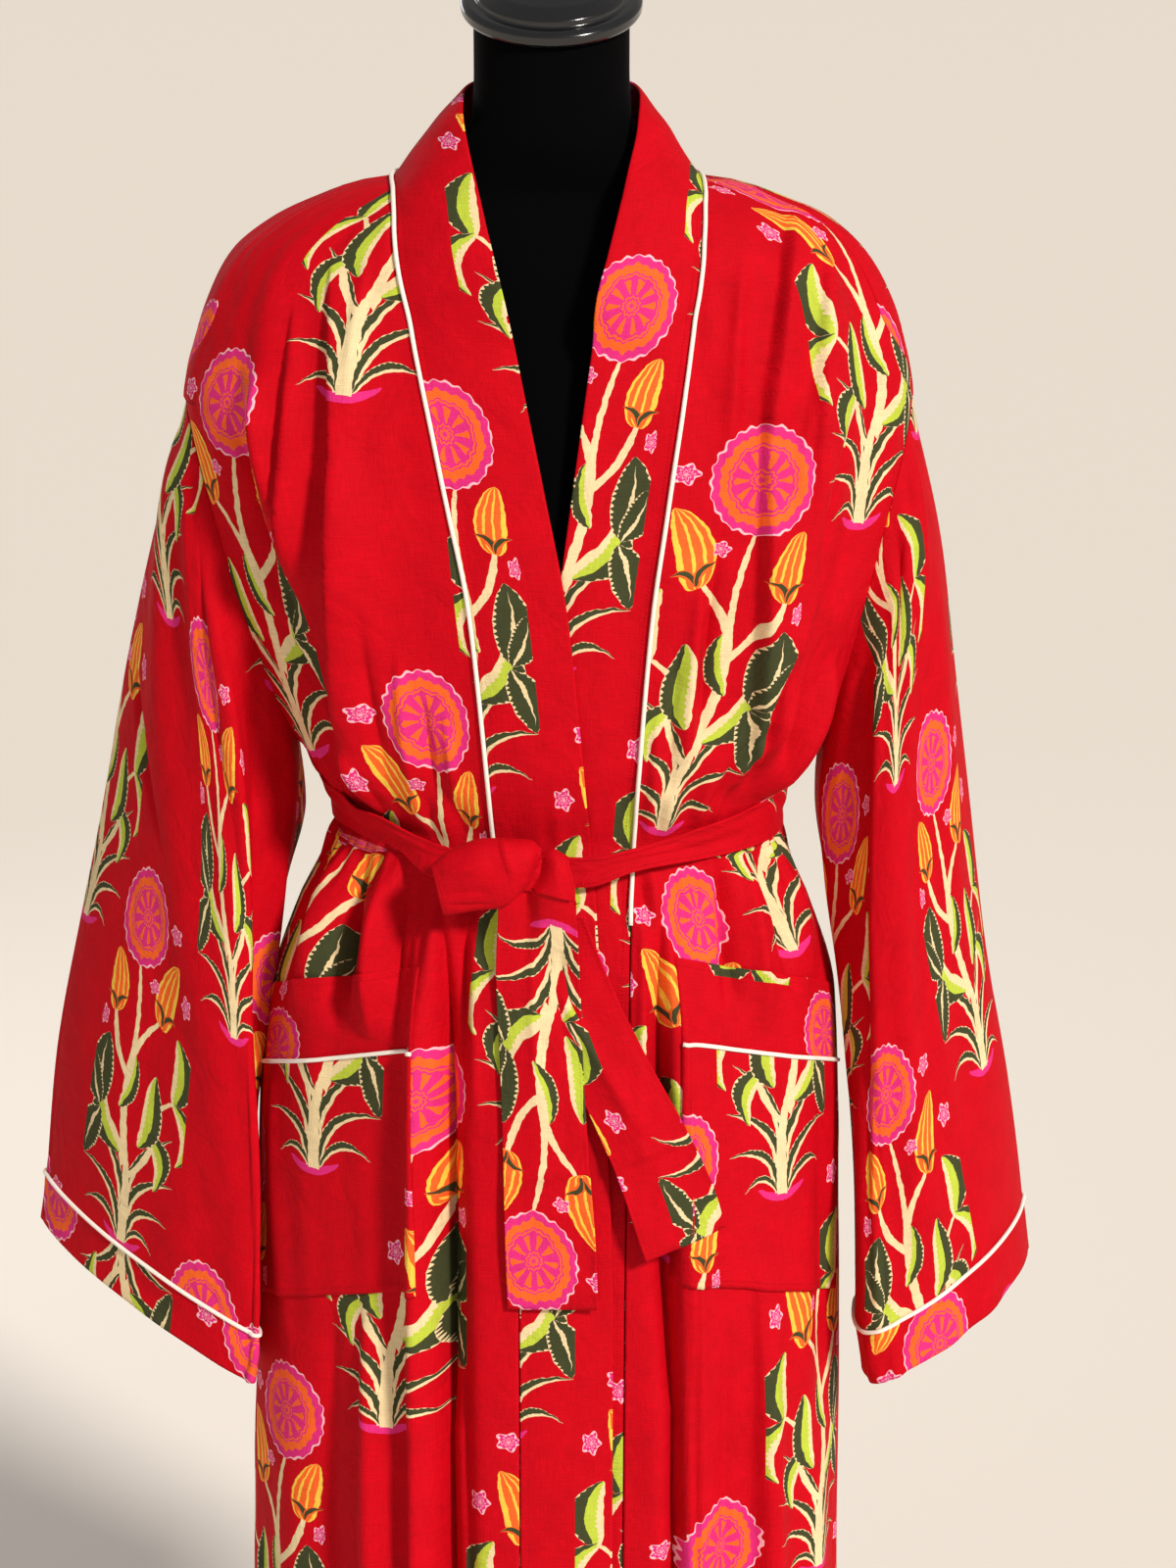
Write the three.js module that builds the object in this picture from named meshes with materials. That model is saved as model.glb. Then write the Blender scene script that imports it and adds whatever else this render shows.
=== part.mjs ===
// A cotton kimono robe tied with its own belt, on a limbless dress form with a pole and a round base.
// Millimetres, +Z up, the front faces -Y. "Right" and "left" are the wearer's: right is -X.
// The origin is the middle of the base's flat underside.
//
// The body of the robe is one field of level rings. A place on it is a turn (degrees, 0 at the right side
// seam, 90 at the front, 180 at the left side seam, -90 at the back) and a height. Every panel, pocket,
// band and belt is a grid of such places, given a thin wall, so pieces that lie on each other fit.
import * as THREE from "three";

// ---------------------------------------------------------------- driving sizes
const WALL = 1.6;            // a cloth wall: the cotton with its seam allowances
const SEAM = 0.3;            // gap between two pieces at a seam
const PIPING = 1.5;          // radius of the corded piping
const HEM = 240;             // height of the hem
const NECK_SEAM = 1448;      // height of the neck seam
const BAND_WIDTH = 64;       // neckband, from piping to free edge
const UNDERLAP = 5;          // how far the left front lies behind the right one
const BASE_RADIUS = 190;
const POLE_RADIUS = 14;
const NECK_TILT = 24;        // degrees that the neck's top leans forward

const RED = 0xc41424;
const WHITE = 0xf4efe6;

// ---------------------------------------------------------------- tables
// Rings of the body: how far the cloth reaches to each side at a height. A ring is four quarter ellipses.
const RINGS = [
  { z: 1448, right: 105, left: 98, front: 14, back: 80 },
  { z: 1444, right: 131, left: 126, front: 38, back: 84 },
  { z: 1435, right: 155, left: 154, front: 58, back: 89 },
  { z: 1420, right: 186, left: 186, front: 74, back: 96 },
  { z: 1400, right: 212, left: 208, front: 87, back: 102 },
  { z: 1378, right: 226, left: 222, front: 97, back: 107 },
  { z: 1350, right: 237, left: 233, front: 107, back: 111 },
  { z: 1300, right: 248, left: 243, front: 119, back: 115 },
  { z: 1240, right: 238, left: 238, front: 128, back: 117 },
  { z: 1180, right: 219, left: 226, front: 132, back: 117 },
  { z: 1120, right: 196, left: 208, front: 132, back: 114 },
  { z: 1072, right: 176, left: 184, front: 129, back: 110 },
  { z: 1045, right: 161, left: 164, front: 122, back: 105 },
  { z: 1013, right: 148, left: 156, front: 113, back: 97 },
  { z: 992, right: 156, left: 160, front: 119, back: 102 },
  { z: 950, right: 178, left: 178, front: 129, back: 110 },
  { z: 885, right: 199, left: 197, front: 135, back: 118 },
  { z: 800, right: 207, left: 201, front: 138, back: 124 },
  { z: 695, right: 211, left: 203, front: 140, back: 130 },
  { z: 590, right: 215, left: 205, front: 142, back: 134 },
  { z: 434, right: 219, left: 206, front: 144, back: 138 },
  { z: 240, right: 223, left: 208, front: 147, back: 142 },
];

// The largest folds: a ridge runs from (turnTop, top) to (turnFoot, foot). It falls off over so many
// degrees before and after its crest, and stands so high; a negative height is a hollow.
const FOLDS = [
  { name: "right chest edge", turnTop: 57, top: 1260, turnFoot: 42, foot: 1040, before: 4, after: 12, height: 9 },
  { name: "right chest hollow", turnTop: 40, top: 1280, turnFoot: 33, foot: 1070, before: 6, after: 5, height: -8 },
  { name: "right shoulder fold", turnTop: 37, top: 1400, turnFoot: 45, foot: 1200, before: 4, after: 5, height: 6 },
  { name: "left chest edge", turnTop: 145, top: 1405, turnFoot: 132, foot: 1140, before: 9, after: 4, height: 7 },
  { name: "left chest hollow", turnTop: 155, top: 1380, turnFoot: 144, foot: 1110, before: 5, after: 6, height: -7 },
  { name: "left waist drape", turnTop: 150, top: 1180, turnFoot: 128, foot: 1045, before: 7, after: 6, height: 8 },
  { name: "right pleat", turnTop: 64, top: 985, turnFoot: 66.5, foot: 240, before: 2.4, after: 3.4, height: 11 },
  { name: "right pleat gutter", turnTop: 71, top: 975, turnFoot: 74, foot: 240, before: 2.6, after: 2.6, height: -5 },
  { name: "left pleat", turnTop: 114, top: 985, turnFoot: 117, foot: 240, before: 8, after: 2.2, height: 9 },
  { name: "right hip fold", turnTop: 36, top: 985, turnFoot: 30, foot: 300, before: 8, after: 8, height: 5 },
  { name: "left hip fold", turnTop: 144, top: 985, turnFoot: 154, foot: 300, before: 9, after: 8, height: 5 },
  { name: "back fold right", turnTop: -48, top: 1330, turnFoot: -56, foot: 1045, before: 8, after: 6, height: 8 },
  { name: "back fold left", turnTop: -130, top: 1320, turnFoot: -122, foot: 1045, before: 6, after: 9, height: 8 },
  { name: "back skirt right", turnTop: -60, top: 985, turnFoot: -50, foot: 240, before: 7, after: 8, height: 9 },
  { name: "back skirt middle", turnTop: -92, top: 985, turnFoot: -96, foot: 240, before: 6, after: 7, height: 7 },
  { name: "back skirt left", turnTop: -124, top: 985, turnFoot: -136, foot: 240, before: 8, after: 7, height: 9 },
];
const FOLD_FADE = 70;        // height over which a fold dies away at its ends

// Seam between the right front and its band, and the left one, by height.
const SEAM_LINE = [
  { z: 1448, right: -104.4, left: 97.4 },
  { z: 1440, right: -103.5, left: 100.5 },
  { z: 1400, right: -100, left: 99 },
  { z: 1361, right: -91, left: 93 },
  { z: 1298, right: -78, left: 84 },
  { z: 1240, right: -66, left: 76 },
  { z: 1181, right: -54, left: 68 },
  { z: 1129, right: -48, left: 63 },
  { z: 1020, right: -38.5, left: 56 },
  { z: 966, right: -34, left: 53 },
  { z: 850, right: -28, left: 52 },
  { z: 695, right: -23, left: 50 },
  { z: 240, right: -24, left: 48 },
];

// Free edge of the band above the chest: the neck edge leans in and stands up round the neck.
// Rows go from the chest to the back of the neck; the seam point of each row is on SEAM_LINE or the neck.
const COLLAR = [
  { seamZ: 1360, x: 29, y: -111, z: 1375 },
  { seamZ: 1390, x: 37, y: -94, z: 1406 },
  { seamZ: 1412, x: 43, y: -80, z: 1429 },
  { seamZ: 1428, x: 48.5, y: -66, z: 1450 },
  { seamZ: 1440, x: 55, y: -44, z: 1475 },
  { seamTurn: 0, x: 59, y: -14, z: 1498 },
  { seamTurn: -28, x: 56, y: 27, z: 1508 },
  { seamTurn: -58, x: 36, y: 53, z: 1512 },
  { seamTurn: -90, x: 0, y: 63, z: 1514 },
];

// Rings of the sleeves, from the armhole to the edge of the cuff. Each has its outer and inner corner,
// and the points where it bulges most to the front and to the back.
const ARMHOLE = { top: 1300, foot: 1066 };
const SLEEVES = {
  right: {
    round: 1.7,
    rows: [
      { ox: -247, oy: 6, oz: ARMHOLE.top, ix: -178, iy: 5, iz: ARMHOLE.foot, fx: -215, fy: -46, bx: -215, by: 50 },
      { ox: -259, oy: 13, oz: 1256, ix: -176, iy: 16, iz: 1018, fx: -226, fy: -56, bx: -230, by: 60 },
      { ox: -275, oy: 21, oz: 1196, ix: -188, iy: 16, iz: 966, fx: -217, fy: -61, bx: -236, by: 65 },
      { ox: -294, oy: 29, oz: 1118, ix: -202, iy: 12, iz: 912, fx: -212, fy: -63, bx: -243, by: 68 },
      { ox: -315, oy: 37, oz: 1026, ix: -212, iy: 5, iz: 850, fx: -210, fy: -66, bx: -252, by: 68 },
      { ox: -340, oy: 45, oz: 915, ix: -219, iy: 0, iz: 782, fx: -209, fy: -69, bx: -265, by: 66 },
      { ox: -359, oy: 52, oz: 815, ix: -224, iy: -4, iz: 718, fx: -210, fy: -71, bx: -277, by: 64 },
      { ox: -371, oy: 56, oz: 721, ix: -228, iy: -6, iz: 660, fx: -212, fy: -73, bx: -286, by: 62 },
      { ox: -377, oy: 58, oz: 685, ix: -231, iy: -6, iz: 624, fx: -216, fy: -75, bx: -290, by: 62 },
    ],
  },
  left: {
    round: 2.0,
    rows: [
      { ox: 243, oy: 6, oz: ARMHOLE.top, ix: 186, iy: 5, iz: ARMHOLE.foot, fx: 214, fy: -46, bx: 214, by: 50 },
      { ox: 253, oy: 12, oz: 1256, ix: 184, iy: 15, iz: 1018, fx: 226, fy: -56, bx: 228, by: 60 },
      { ox: 265, oy: 18, oz: 1196, ix: 192, iy: 15, iz: 966, fx: 224, fy: -61, bx: 232, by: 63 },
      { ox: 277, oy: 25, oz: 1116, ix: 203, iy: 10, iz: 910, fx: 222, fy: -63, bx: 238, by: 65 },
      { ox: 290, oy: 32, oz: 1022, ix: 210, iy: 4, iz: 845, fx: 224, fy: -64, bx: 245, by: 66 },
      { ox: 307, oy: 38, oz: 906, ix: 214, iy: -2, iz: 775, fx: 230, fy: -66, bx: 253, by: 66 },
      { ox: 325, oy: 44, oz: 808, ix: 216, iy: -6, iz: 705, fx: 236, fy: -68, bx: 262, by: 64 },
      { ox: 341, oy: 50, oz: 704, ix: 218, iy: -8, iz: 650, fx: 242, fy: -70, bx: 272, by: 62 },
      { ox: 347, oy: 52, oz: 664, ix: 223, iy: -8, iz: 612, fx: 248, fy: -72, bx: 276, by: 62 },
    ],
  },
};
const CUFF_ROW = 7;          // the row of the cuff seam
const SLEEVE_SIDES = 20;
const SLEEVE_STOPS = [0, 0.5, 1, 1.7, 2.5, 3.4, 4.4, 5.4, 6.3, CUFF_ROW];

// Heights of the panels' rows at the front edge: over the shoulder, along the armhole at the heights of
// the sleeve's own points, and down to the hem. Columns run at these shares of a front's width.
const ARMHOLE_LEVELS = Array.from({ length: SLEEVE_SIDES / 2 + 1 }, (_, k) => ARMHOLE.foot
  + (ARMHOLE.top - ARMHOLE.foot) * (0.5 + 0.5 * Math.cos((2 * Math.PI * k) / SLEEVE_SIDES)));
const LEVELS = [1448, 1440, 1428, 1412, 1390, 1360, 1330, ...ARMHOLE_LEVELS,
  1046, 1030, 1013, 996, 972, 950, 893, 836, 779, 722, 620, 520, 390, HEM];
const FRONT_SHARES = [0, 0.1, 0.19, 0.29, 0.39, 0.5, 0.61, 0.71, 0.78, 0.825, 0.87, 0.93, 1];
const BACK_COLUMNS = 12;
const SIDE_DIP = 64;         // how much lower the rows run at the side seam, below the belt

// The pockets: rows by height, columns of their sides, and how far the outer side slants in, as a share.
const POCKET = { mouth: 950, piping: 893, foot: 722, outer: 1, inner: { right: 8, left: 10 }, slant: 0.07 };

// Rings of the form's torso and neck.
const TORSO = [
  { z: 790, wide: 128, front: 84, back: 88 },
  { z: 796, wide: 146, front: 96, back: 101 },
  { z: 812, wide: 155, front: 103, back: 107 },
  { z: 870, wide: 158, front: 106, back: 110 },
  { z: 950, wide: 143, front: 97, back: 99 },
  { z: 1020, wide: 120, front: 84, back: 82 },
  { z: 1100, wide: 132, front: 98, back: 90 },
  { z: 1190, wide: 148, front: 112, back: 99 },
  { z: 1280, wide: 158, front: 104, back: 104 },
  { z: 1340, wide: 168, front: 88, back: 102 },
  { z: 1376, wide: 178, front: 74, back: 97 },
  { z: 1398, wide: 183, front: 64, back: 92 },
  { z: 1412, wide: 176, front: 56, back: 88 },
  { z: 1424, wide: 158, front: 48, back: 84 },
  { z: 1433, wide: 138, front: 42, back: 80 },
  { z: 1440, wide: 113, front: 40, back: 76 },
  { z: 1447, wide: 91, front: 42, back: 70 },
  { z: 1458, wide: 72, front: 46, back: 62 },
  { z: 1472, wide: 60, front: 50, back: 56 },
  { z: 1490, wide: 53, front: 51, back: 53 },
  { z: 1520, wide: 51.5, front: 51, back: 52 },
  { z: 1556, wide: 51.5, front: 51, back: 52 },
];
const TORSO_SIDES = 32;

// ---------------------------------------------------------------- small helpers
const point = (x, y, z) => new THREE.Vector3(x, y, z);
const mix = (a, b, share) => a + (b - a) * share;
const ease = (from, to, at) => THREE.MathUtils.smoothstep(to > from ? at : -at, to > from ? from : -from,
  to > from ? to : -to);
const radians = THREE.MathUtils.degToRad;

/** A column of a table at any place along its key: a smooth curve through the rows with no overshoot. */
function read(table, key, name, at) {
  const rows = table[0][key] < table[table.length - 1][key] ? table : [...table].reverse();
  const last = rows.length - 1;
  if (at <= rows[0][key]) return rows[0][name];
  if (at >= rows[last][key]) return rows[last][name];
  const i = rows.findIndex((row) => row[key] > at) - 1;
  const slope = (k) => (rows[k + 1][name] - rows[k][name]) / (rows[k + 1][key] - rows[k][key]);
  const tangent = (k) => {
    if (k === 0) return slope(0);
    if (k === last) return slope(last - 1);
    const product = slope(k - 1) * slope(k);
    return product <= 0 ? 0 : (2 * product) / (slope(k - 1) + slope(k));
  };
  const step = rows[i + 1][key] - rows[i][key];
  const f = (at - rows[i][key]) / step;
  return rows[i][name] * (1 + 2 * f) * (1 - f) ** 2 + rows[i + 1][name] * f * f * (3 - 2 * f)
    + step * (tangent(i) * f * (1 - f) ** 2 + tangent(i + 1) * f * f * (f - 1));
}

/** A closed solid from rings of points: each ring joined to the next, and both ends filled by a fan. */
function ringSolid(rings, wrap = false) {
  const sides = rings[0].length;
  const spots = rings.flat();
  const faces = [];
  const count = wrap ? rings.length : rings.length - 1;
  for (let i = 0; i < count; i += 1) {
    for (let j = 0; j < sides; j += 1) {
      const [a, b] = [i * sides + j, i * sides + ((j + 1) % sides)];
      const [c, d] = [a, b].map((k) => (k + sides) % (rings.length * sides));
      faces.push(a, b, c, b, d, c);
    }
  }
  if (!wrap) {
    const ends = [[0, -1], [rings.length - 1, 1]];
    for (const [i, way] of ends) {
      const middle = rings[i].reduce((sum, spot) => sum.add(spot), point(0, 0, 0)).divideScalar(sides);
      spots.push(middle);
      for (let j = 0; j < sides; j += 1) {
        const pair = [i * sides + j, i * sides + ((j + 1) % sides)];
        faces.push(spots.length - 1, pair[way < 0 ? 1 : 0], pair[way < 0 ? 0 : 1]);
      }
    }
  }
  return solid(spots, faces);
}

/** A cloth wall between two grids of points; `closed` joins the last column to the first. */
function wall(outer, inner, closed = false) {
  const [rows, columns] = [outer.length, outer[0].length];
  const spots = [...outer.flat(), ...inner.flat()];
  const at = (side, i, j) => side * rows * columns + i * columns + (j % columns);
  const faces = [];
  const quad = (a, b, c, d) => faces.push(a, b, c, a, c, d);
  for (let i = 0; i < rows - 1; i += 1) {
    for (let j = 0; j < (closed ? columns : columns - 1); j += 1) {
      quad(at(0, i, j), at(0, i, j + 1), at(0, i + 1, j + 1), at(0, i + 1, j));
      quad(at(1, i, j), at(1, i + 1, j), at(1, i + 1, j + 1), at(1, i, j + 1));
    }
  }
  for (let j = 0; j < (closed ? columns : columns - 1); j += 1) {
    quad(at(0, 0, j), at(1, 0, j), at(1, 0, j + 1), at(0, 0, j + 1));
    quad(at(0, rows - 1, j), at(0, rows - 1, j + 1), at(1, rows - 1, j + 1), at(1, rows - 1, j));
  }
  for (let i = 0; i < rows - 1 && !closed; i += 1) {
    quad(at(0, i, 0), at(0, i + 1, 0), at(1, i + 1, 0), at(1, i, 0));
    quad(at(0, i, columns - 1), at(1, i, columns - 1), at(1, i + 1, columns - 1), at(0, i + 1, columns - 1));
  }
  return solid(spots, faces);
}

/** A geometry from points and triangles, turned so that its faces point out. */
function solid(spots, faces) {
  let volume = 0;
  for (let i = 0; i < faces.length; i += 3) {
    const [a, b, c] = [0, 1, 2].map((k) => spots[faces[i + k]]);
    volume += a.dot(b.clone().cross(c));
  }
  if (volume < 0) faces.reverse();
  const geometry = new THREE.BufferGeometry().setFromPoints(spots);
  geometry.setIndex(faces);
  geometry.computeVertexNormals();
  return geometry;
}

/** A round cord that lies on a surface: `path` holds places with the way out of the surface there. */
function cord(path, radius, wrap = false, sides = 4) {
  const count = path.length;
  const rings = path.map(({ spot, out }, i) => {
    const before = path[wrap ? (i + count - 1) % count : Math.max(i - 1, 0)].spot;
    const after = path[wrap ? (i + 1) % count : Math.min(i + 1, count - 1)].spot;
    const along = after.clone().sub(before).normalize();
    const across = along.clone().cross(out).normalize();
    const up = across.clone().cross(along).normalize();
    const middle = spot.clone().addScaledVector(out, radius + SEAM);
    return Array.from({ length: sides }, (_, k) => middle.clone()
      .addScaledVector(across, radius * Math.cos((2 * Math.PI * (k + 0.5)) / sides))
      .addScaledVector(up, radius * Math.sin((2 * Math.PI * (k + 0.5)) / sides)));
  });
  return ringSolid(rings, wrap);
}

// ---------------------------------------------------------------- the body's field
/** A ring's place: an ellipse with the right or left reach and the front or back reach. */
function ringSpot(turn, z) {
  const [c, s] = [Math.cos(radians(turn)), Math.sin(radians(turn))];
  const reachX = read(RINGS, "z", c > 0 ? "right" : "left", z);
  const reachY = read(RINGS, "z", s > 0 ? "front" : "back", z);
  return point(-reachX * c, -reachY * s, z);
}

/** The way out of the cloth, from the slopes of the rings round and up. */
function outward(turn, z) {
  const level = Math.min(z, NECK_SEAM - 2);
  const round = ringSpot(turn + 2, level).sub(ringSpot(turn - 2, level));
  const up = ringSpot(turn, level + 2).sub(ringSpot(turn, level - 2));
  return round.cross(up).normalize();
}

/** How far the folds stand out at a place. */
function foldHeight(turn, z) {
  return FOLDS.reduce((sum, fold) => {
    const share = (fold.top - z) / (fold.top - fold.foot);
    const off = ((turn - mix(fold.turnTop, fold.turnFoot, share) + 540) % 360) - 180;
    const width = off < 0 ? fold.before : fold.after;
    const head = ease(fold.top + FOLD_FADE / 2, fold.top - FOLD_FADE / 2, z);
    const tail = fold.foot <= HEM ? 1 : ease(fold.foot - FOLD_FADE / 2, fold.foot + FOLD_FADE / 2, z);
    return sum + fold.height * head * tail * Math.exp(-((off / width) ** 2));
  }, 0);
}

/** A place on the cloth's outside with the way out, moved out by `lift`. */
function place(turn, z, lift = 0) {
  const out = outward(turn, z);
  return { spot: ringSpot(turn, z).addScaledVector(out, foldHeight(turn, z) + lift), out };
}

/** The turn where the front of the ring at height z stands at x. */
function turnAt(x, z) {
  const reach = read(RINGS, "z", x < 0 ? "right" : "left", z);
  const share = Math.min(Math.abs(x) / reach, 1);
  const turn = THREE.MathUtils.radToDeg(Math.acos(share));
  return x < 0 ? turn : 180 - turn;
}

/** How far behind the field the left front lies, so that the right one can lap over it. */
const underlap = (x, z) => -UNDERLAP * ease(85, 50, x) * ease(1330, 1240, z);

// ---------------------------------------------------------------- sleeves
/** A sleeve row at any place between its rows. */
function sleeveRow(side, at) {
  const table = SLEEVES[side].rows.map((row, k) => ({ k, ...row }));
  const names = Object.keys(SLEEVES[side].rows[0]);
  return Object.fromEntries(names.map((name) => [name, read(table, "k", name, at)]));
}

/** A sleeve's place: `angle` is 0 at the outer corner, 90 at the front bulge, 180 at the inner corner. */
function sleeveSpot(side, at, angle) {
  const row = sleeveRow(side, at);
  const height = (x) => mix(row.oz, row.iz, mix(0.5, (x - row.ox) / (row.ix - row.ox), ease(0, 2, at)));
  const middleX = (row.fx + row.bx) / 2;
  const middle = point(middleX, (row.oy + row.iy) / 2, height(middleX));
  const [c, s] = [Math.cos(radians(angle)), Math.sin(radians(angle))];
  const power = 2 / mix(2, SLEEVES[side].round, ease(0, 2, at));
  const corner = c > 0 ? point(row.ox, row.oy, row.oz) : point(row.ix, row.iy, row.iz);
  const [x, y] = s > 0 ? [row.fx, row.fy] : [row.bx, row.by];
  const bulge = point(x, y, height(x));
  return middle.clone()
    .addScaledVector(corner.sub(middle), Math.abs(c) ** power)
    .addScaledVector(bulge.sub(middle), Math.abs(s) ** power);
}

/** The way out of a sleeve, from its slopes round and down. */
function sleeveOut(side, at, angle) {
  const from = Math.max(at - 0.2, 0);
  const to = Math.min(at + 0.2, SLEEVES[side].rows.length - 1);
  const round = sleeveSpot(side, at, angle + 5).sub(sleeveSpot(side, at, angle - 5));
  const down = sleeveSpot(side, to, angle).sub(sleeveSpot(side, from, angle));
  return (side === "right" ? down.cross(round) : round.cross(down)).normalize();
}

function sleeveWall(side, stops) {
  const angles = Array.from({ length: SLEEVE_SIDES }, (_, k) => (360 * k) / SLEEVE_SIDES);
  const outer = stops.map((at) => angles.map((angle) => sleeveSpot(side, at, angle)));
  const inner = stops.map((at, i) => angles.map((angle, j) => outer[i][j].clone()
    .addScaledVector(sleeveOut(side, at, angle), -WALL)));
  return wall(outer, inner, true);
}

/** Stops moved in from both ends by half a seam's gap, at about this much sleeve a row. */
function clear(stops) {
  const gap = SEAM / 2 / 45;
  return stops.map((at, i) => at + (i === 0 ? gap : 0) - (i === stops.length - 1 ? gap : 0));
}

const sleeve = (side) => sleeveWall(side, clear(SLEEVE_STOPS));
const cuff = (side) => sleeveWall(side, clear([CUFF_ROW, CUFF_ROW + 1]));

function cuffPiping(side) {
  const path = Array.from({ length: SLEEVE_SIDES }, (_, k) => {
    const angle = (360 * k) / SLEEVE_SIDES;
    const out = sleeveOut(side, CUFF_ROW, angle);
    return { spot: sleeveSpot(side, CUFF_ROW, angle).addScaledVector(out, SEAM), out };
  });
  return cord(path, PIPING, true);
}

/** The armhole seam at height z, on the front (way 1) or the back (way -1) of the body. */
function armhole(side, z, way) {
  const row = SLEEVES[side].rows[0];
  const share = (z - (row.oz + row.iz) / 2) / ((row.oz - row.iz) / 2);
  const angle = THREE.MathUtils.radToDeg(Math.acos(THREE.MathUtils.clamp(share, -1, 1)));
  return { spot: sleeveSpot(side, 0, way * angle), open: Math.abs(share) <= 1 };
}

// ---------------------------------------------------------------- panels
/** Rows run lower towards the side seams below the belt, as the wrapped cloth hangs. */
function rowHeight(level, share) {
  const window = ease(1000, POCKET.mouth, level) * ease(HEM, 560, level);
  return level - SIDE_DIP * (1 - share) * window;
}

/** A panel's point, pulled to the armhole seam near its outer edge. */
function panelPlace(side, way, turn, edgeTurn, z, share, lift) {
  const found = place(turn, z, lift);
  const seam = armhole(side, z, way);
  if (seam.open) {
    const pull = (1 - Math.min(share / 0.4, 1)) ** 2;
    seam.spot.x -= Math.sign(seam.spot.x) * ARMHOLE_GAP;
    found.spot.addScaledVector(seam.spot.sub(ringSpot(edgeTurn, z)), pull);
  }
  return found;
}

const ARMHOLE_TURN = 14;     // degrees from the side where the armhole seam is deepest
const SHOULDER_TURN = 18;    // degrees that the shoulder seam lies in front of the ridge
const ARMHOLE_GAP = 0.7;     // the sleeve folds down close to the panel, so their seam is this wide
const SEAM_TURN = 0.1;       // degrees between a seam's middle and a panel's edge

/** The turn of a panel's outer edge: the shoulder and side seams, or the armhole between them. */
function edgeTurn(side, z, way) {
  const row = SLEEVES[side].rows[0];
  const share = THREE.MathUtils.clamp((z - (row.oz + row.iz) / 2) / ((row.oz - row.iz) / 2), -1, 1);
  const forward = SHOULDER_TURN * ease(ARMHOLE.top, ARMHOLE.top + 60, z) * ease(NECK_SEAM, NECK_SEAM - 12, z);
  const off = SEAM_TURN + ARMHOLE_TURN * Math.sqrt(1 - share * share) + way * forward;
  return side === "right" ? way * off : 180 - way * off;
}

/** A front panel's grid of places, from the outer edge to the band's seam, from the neck to the hem. */
function frontGrid(side) {
  return LEVELS.map((level) => FRONT_SHARES.map((even, k) => {
    const share = even + (k === POCKET.outer ? POCKET.slant * ease(POCKET.mouth, POCKET.foot, level) : 0);
    const z = rowHeight(level, share);
    const seamX = read(SEAM_LINE, "z", side, z) + (side === "right" ? -SEAM / 2 : SEAM / 2);
    const edge = edgeTurn(side, z, 1);
    const turn = mix(edge, turnAt(seamX, z), share);
    const x = ringSpot(turn, z).x;
    return panelPlace(side, 1, turn, edge, z, share, side === "left" ? underlap(x, z) : 0);
  }));
}

/** The back panel's grid of places, from the right side seam to the left one. */
function backGrid() {
  return LEVELS.map((level) => Array.from({ length: BACK_COLUMNS + 1 }, (_, k) => {
    const across = k / BACK_COLUMNS;
    const side = across < 0.5 ? "right" : "left";
    const share = across < 0.5 ? 2 * across : 2 * (1 - across);
    const z = rowHeight(level, share);
    const edges = [edgeTurn("right", z, -1), edgeTurn("left", z, -1) - 360];
    const turn = mix(edges[0], edges[1], across);
    return panelPlace(side, -1, turn, edges[side === "right" ? 0 : 1], z, share, 0);
  }));
}

/** A wall from a grid of places: its outside is moved out by `lift`. */
function panel(grid, lift = 0) {
  const outer = grid.map((row) => row.map(({ spot, out }) => spot.clone().addScaledVector(out, lift)));
  const inner = grid.map((row) => row.map(({ spot, out }) => spot.clone().addScaledVector(out, lift - WALL)));
  return wall(outer, inner);
}

/** Moves the first or last row of a grid in by a seam's gap. */
function trimmed(grid, from, to) {
  const part = grid.slice(from, to + 1);
  const shift = (edge, next) => edge.map(({ spot, out }, j) => {
    const way = next[j].spot.clone().sub(spot).normalize();
    return { spot: spot.clone().addScaledVector(way, SEAM / 2), out };
  });
  part[0] = shift(part[0], part[1]);
  part[part.length - 1] = shift(part[part.length - 1], part[part.length - 2]);
  return part;
}

const POCKET_LIFT = WALL + SEAM;

function pocketGrid(side, from, to) {
  const [first, last] = [LEVELS.indexOf(from), LEVELS.indexOf(to)];
  const grid = frontGrid(side).map((row) => row.slice(POCKET.outer, POCKET.inner[side] + 1));
  return trimmed(grid, first, last);
}

const pocket = (side) => panel(pocketGrid(side, POCKET.piping, POCKET.foot), POCKET_LIFT);
const pocketBand = (side) => panel(pocketGrid(side, POCKET.mouth, POCKET.piping), POCKET_LIFT);

function pocketPiping(side) {
  const row = frontGrid(side)[LEVELS.indexOf(POCKET.piping)].slice(POCKET.outer, POCKET.inner[side] + 1);
  const lifted = row.map(({ spot, out }) => ({ spot: spot.clone().addScaledVector(out, POCKET_LIFT), out }));
  return cord(lifted, PIPING);
}

// ---------------------------------------------------------------- neckband
const BAND_SHARES = [0, 0.5, 1];
const COLLAR_FROM = 1350;    // above this height the band leaves the chest and stands up
const COLLAR_GAP = 0.9;      // the standing collar meets the panels at an angle, so its seam is this wide

/** Where a band's rows are sewn on and where its free edge is, from the hem to the back of the neck. */
function bandRows(side) {
  const sign = side === "right" ? -1 : 1;
  const chest = LEVELS.filter((level) => level < COLLAR_FROM).reverse().map((z) => {
    const x = read(SEAM_LINE, "z", side, z);
    const lean = ease(1150, 1260, z);
    return { seam: { turn: turnAt(x, z), x, z }, free: { x: x - sign * (BAND_WIDTH - 2 * lean), z: z + 15 * lean } };
  });
  const collar = COLLAR.map(({ seamZ, seamTurn, x, y, z }) => {
    const height = seamZ ?? LEVELS[0];
    const round = side === "right" ? seamTurn : 180 - seamTurn;
    const turn = seamZ ? turnAt(read(SEAM_LINE, "z", side, seamZ), seamZ) : round;
    return { seam: { turn, z: height }, free: point(sign * x, y, z) };
  });
  return { chest, collar };
}

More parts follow.
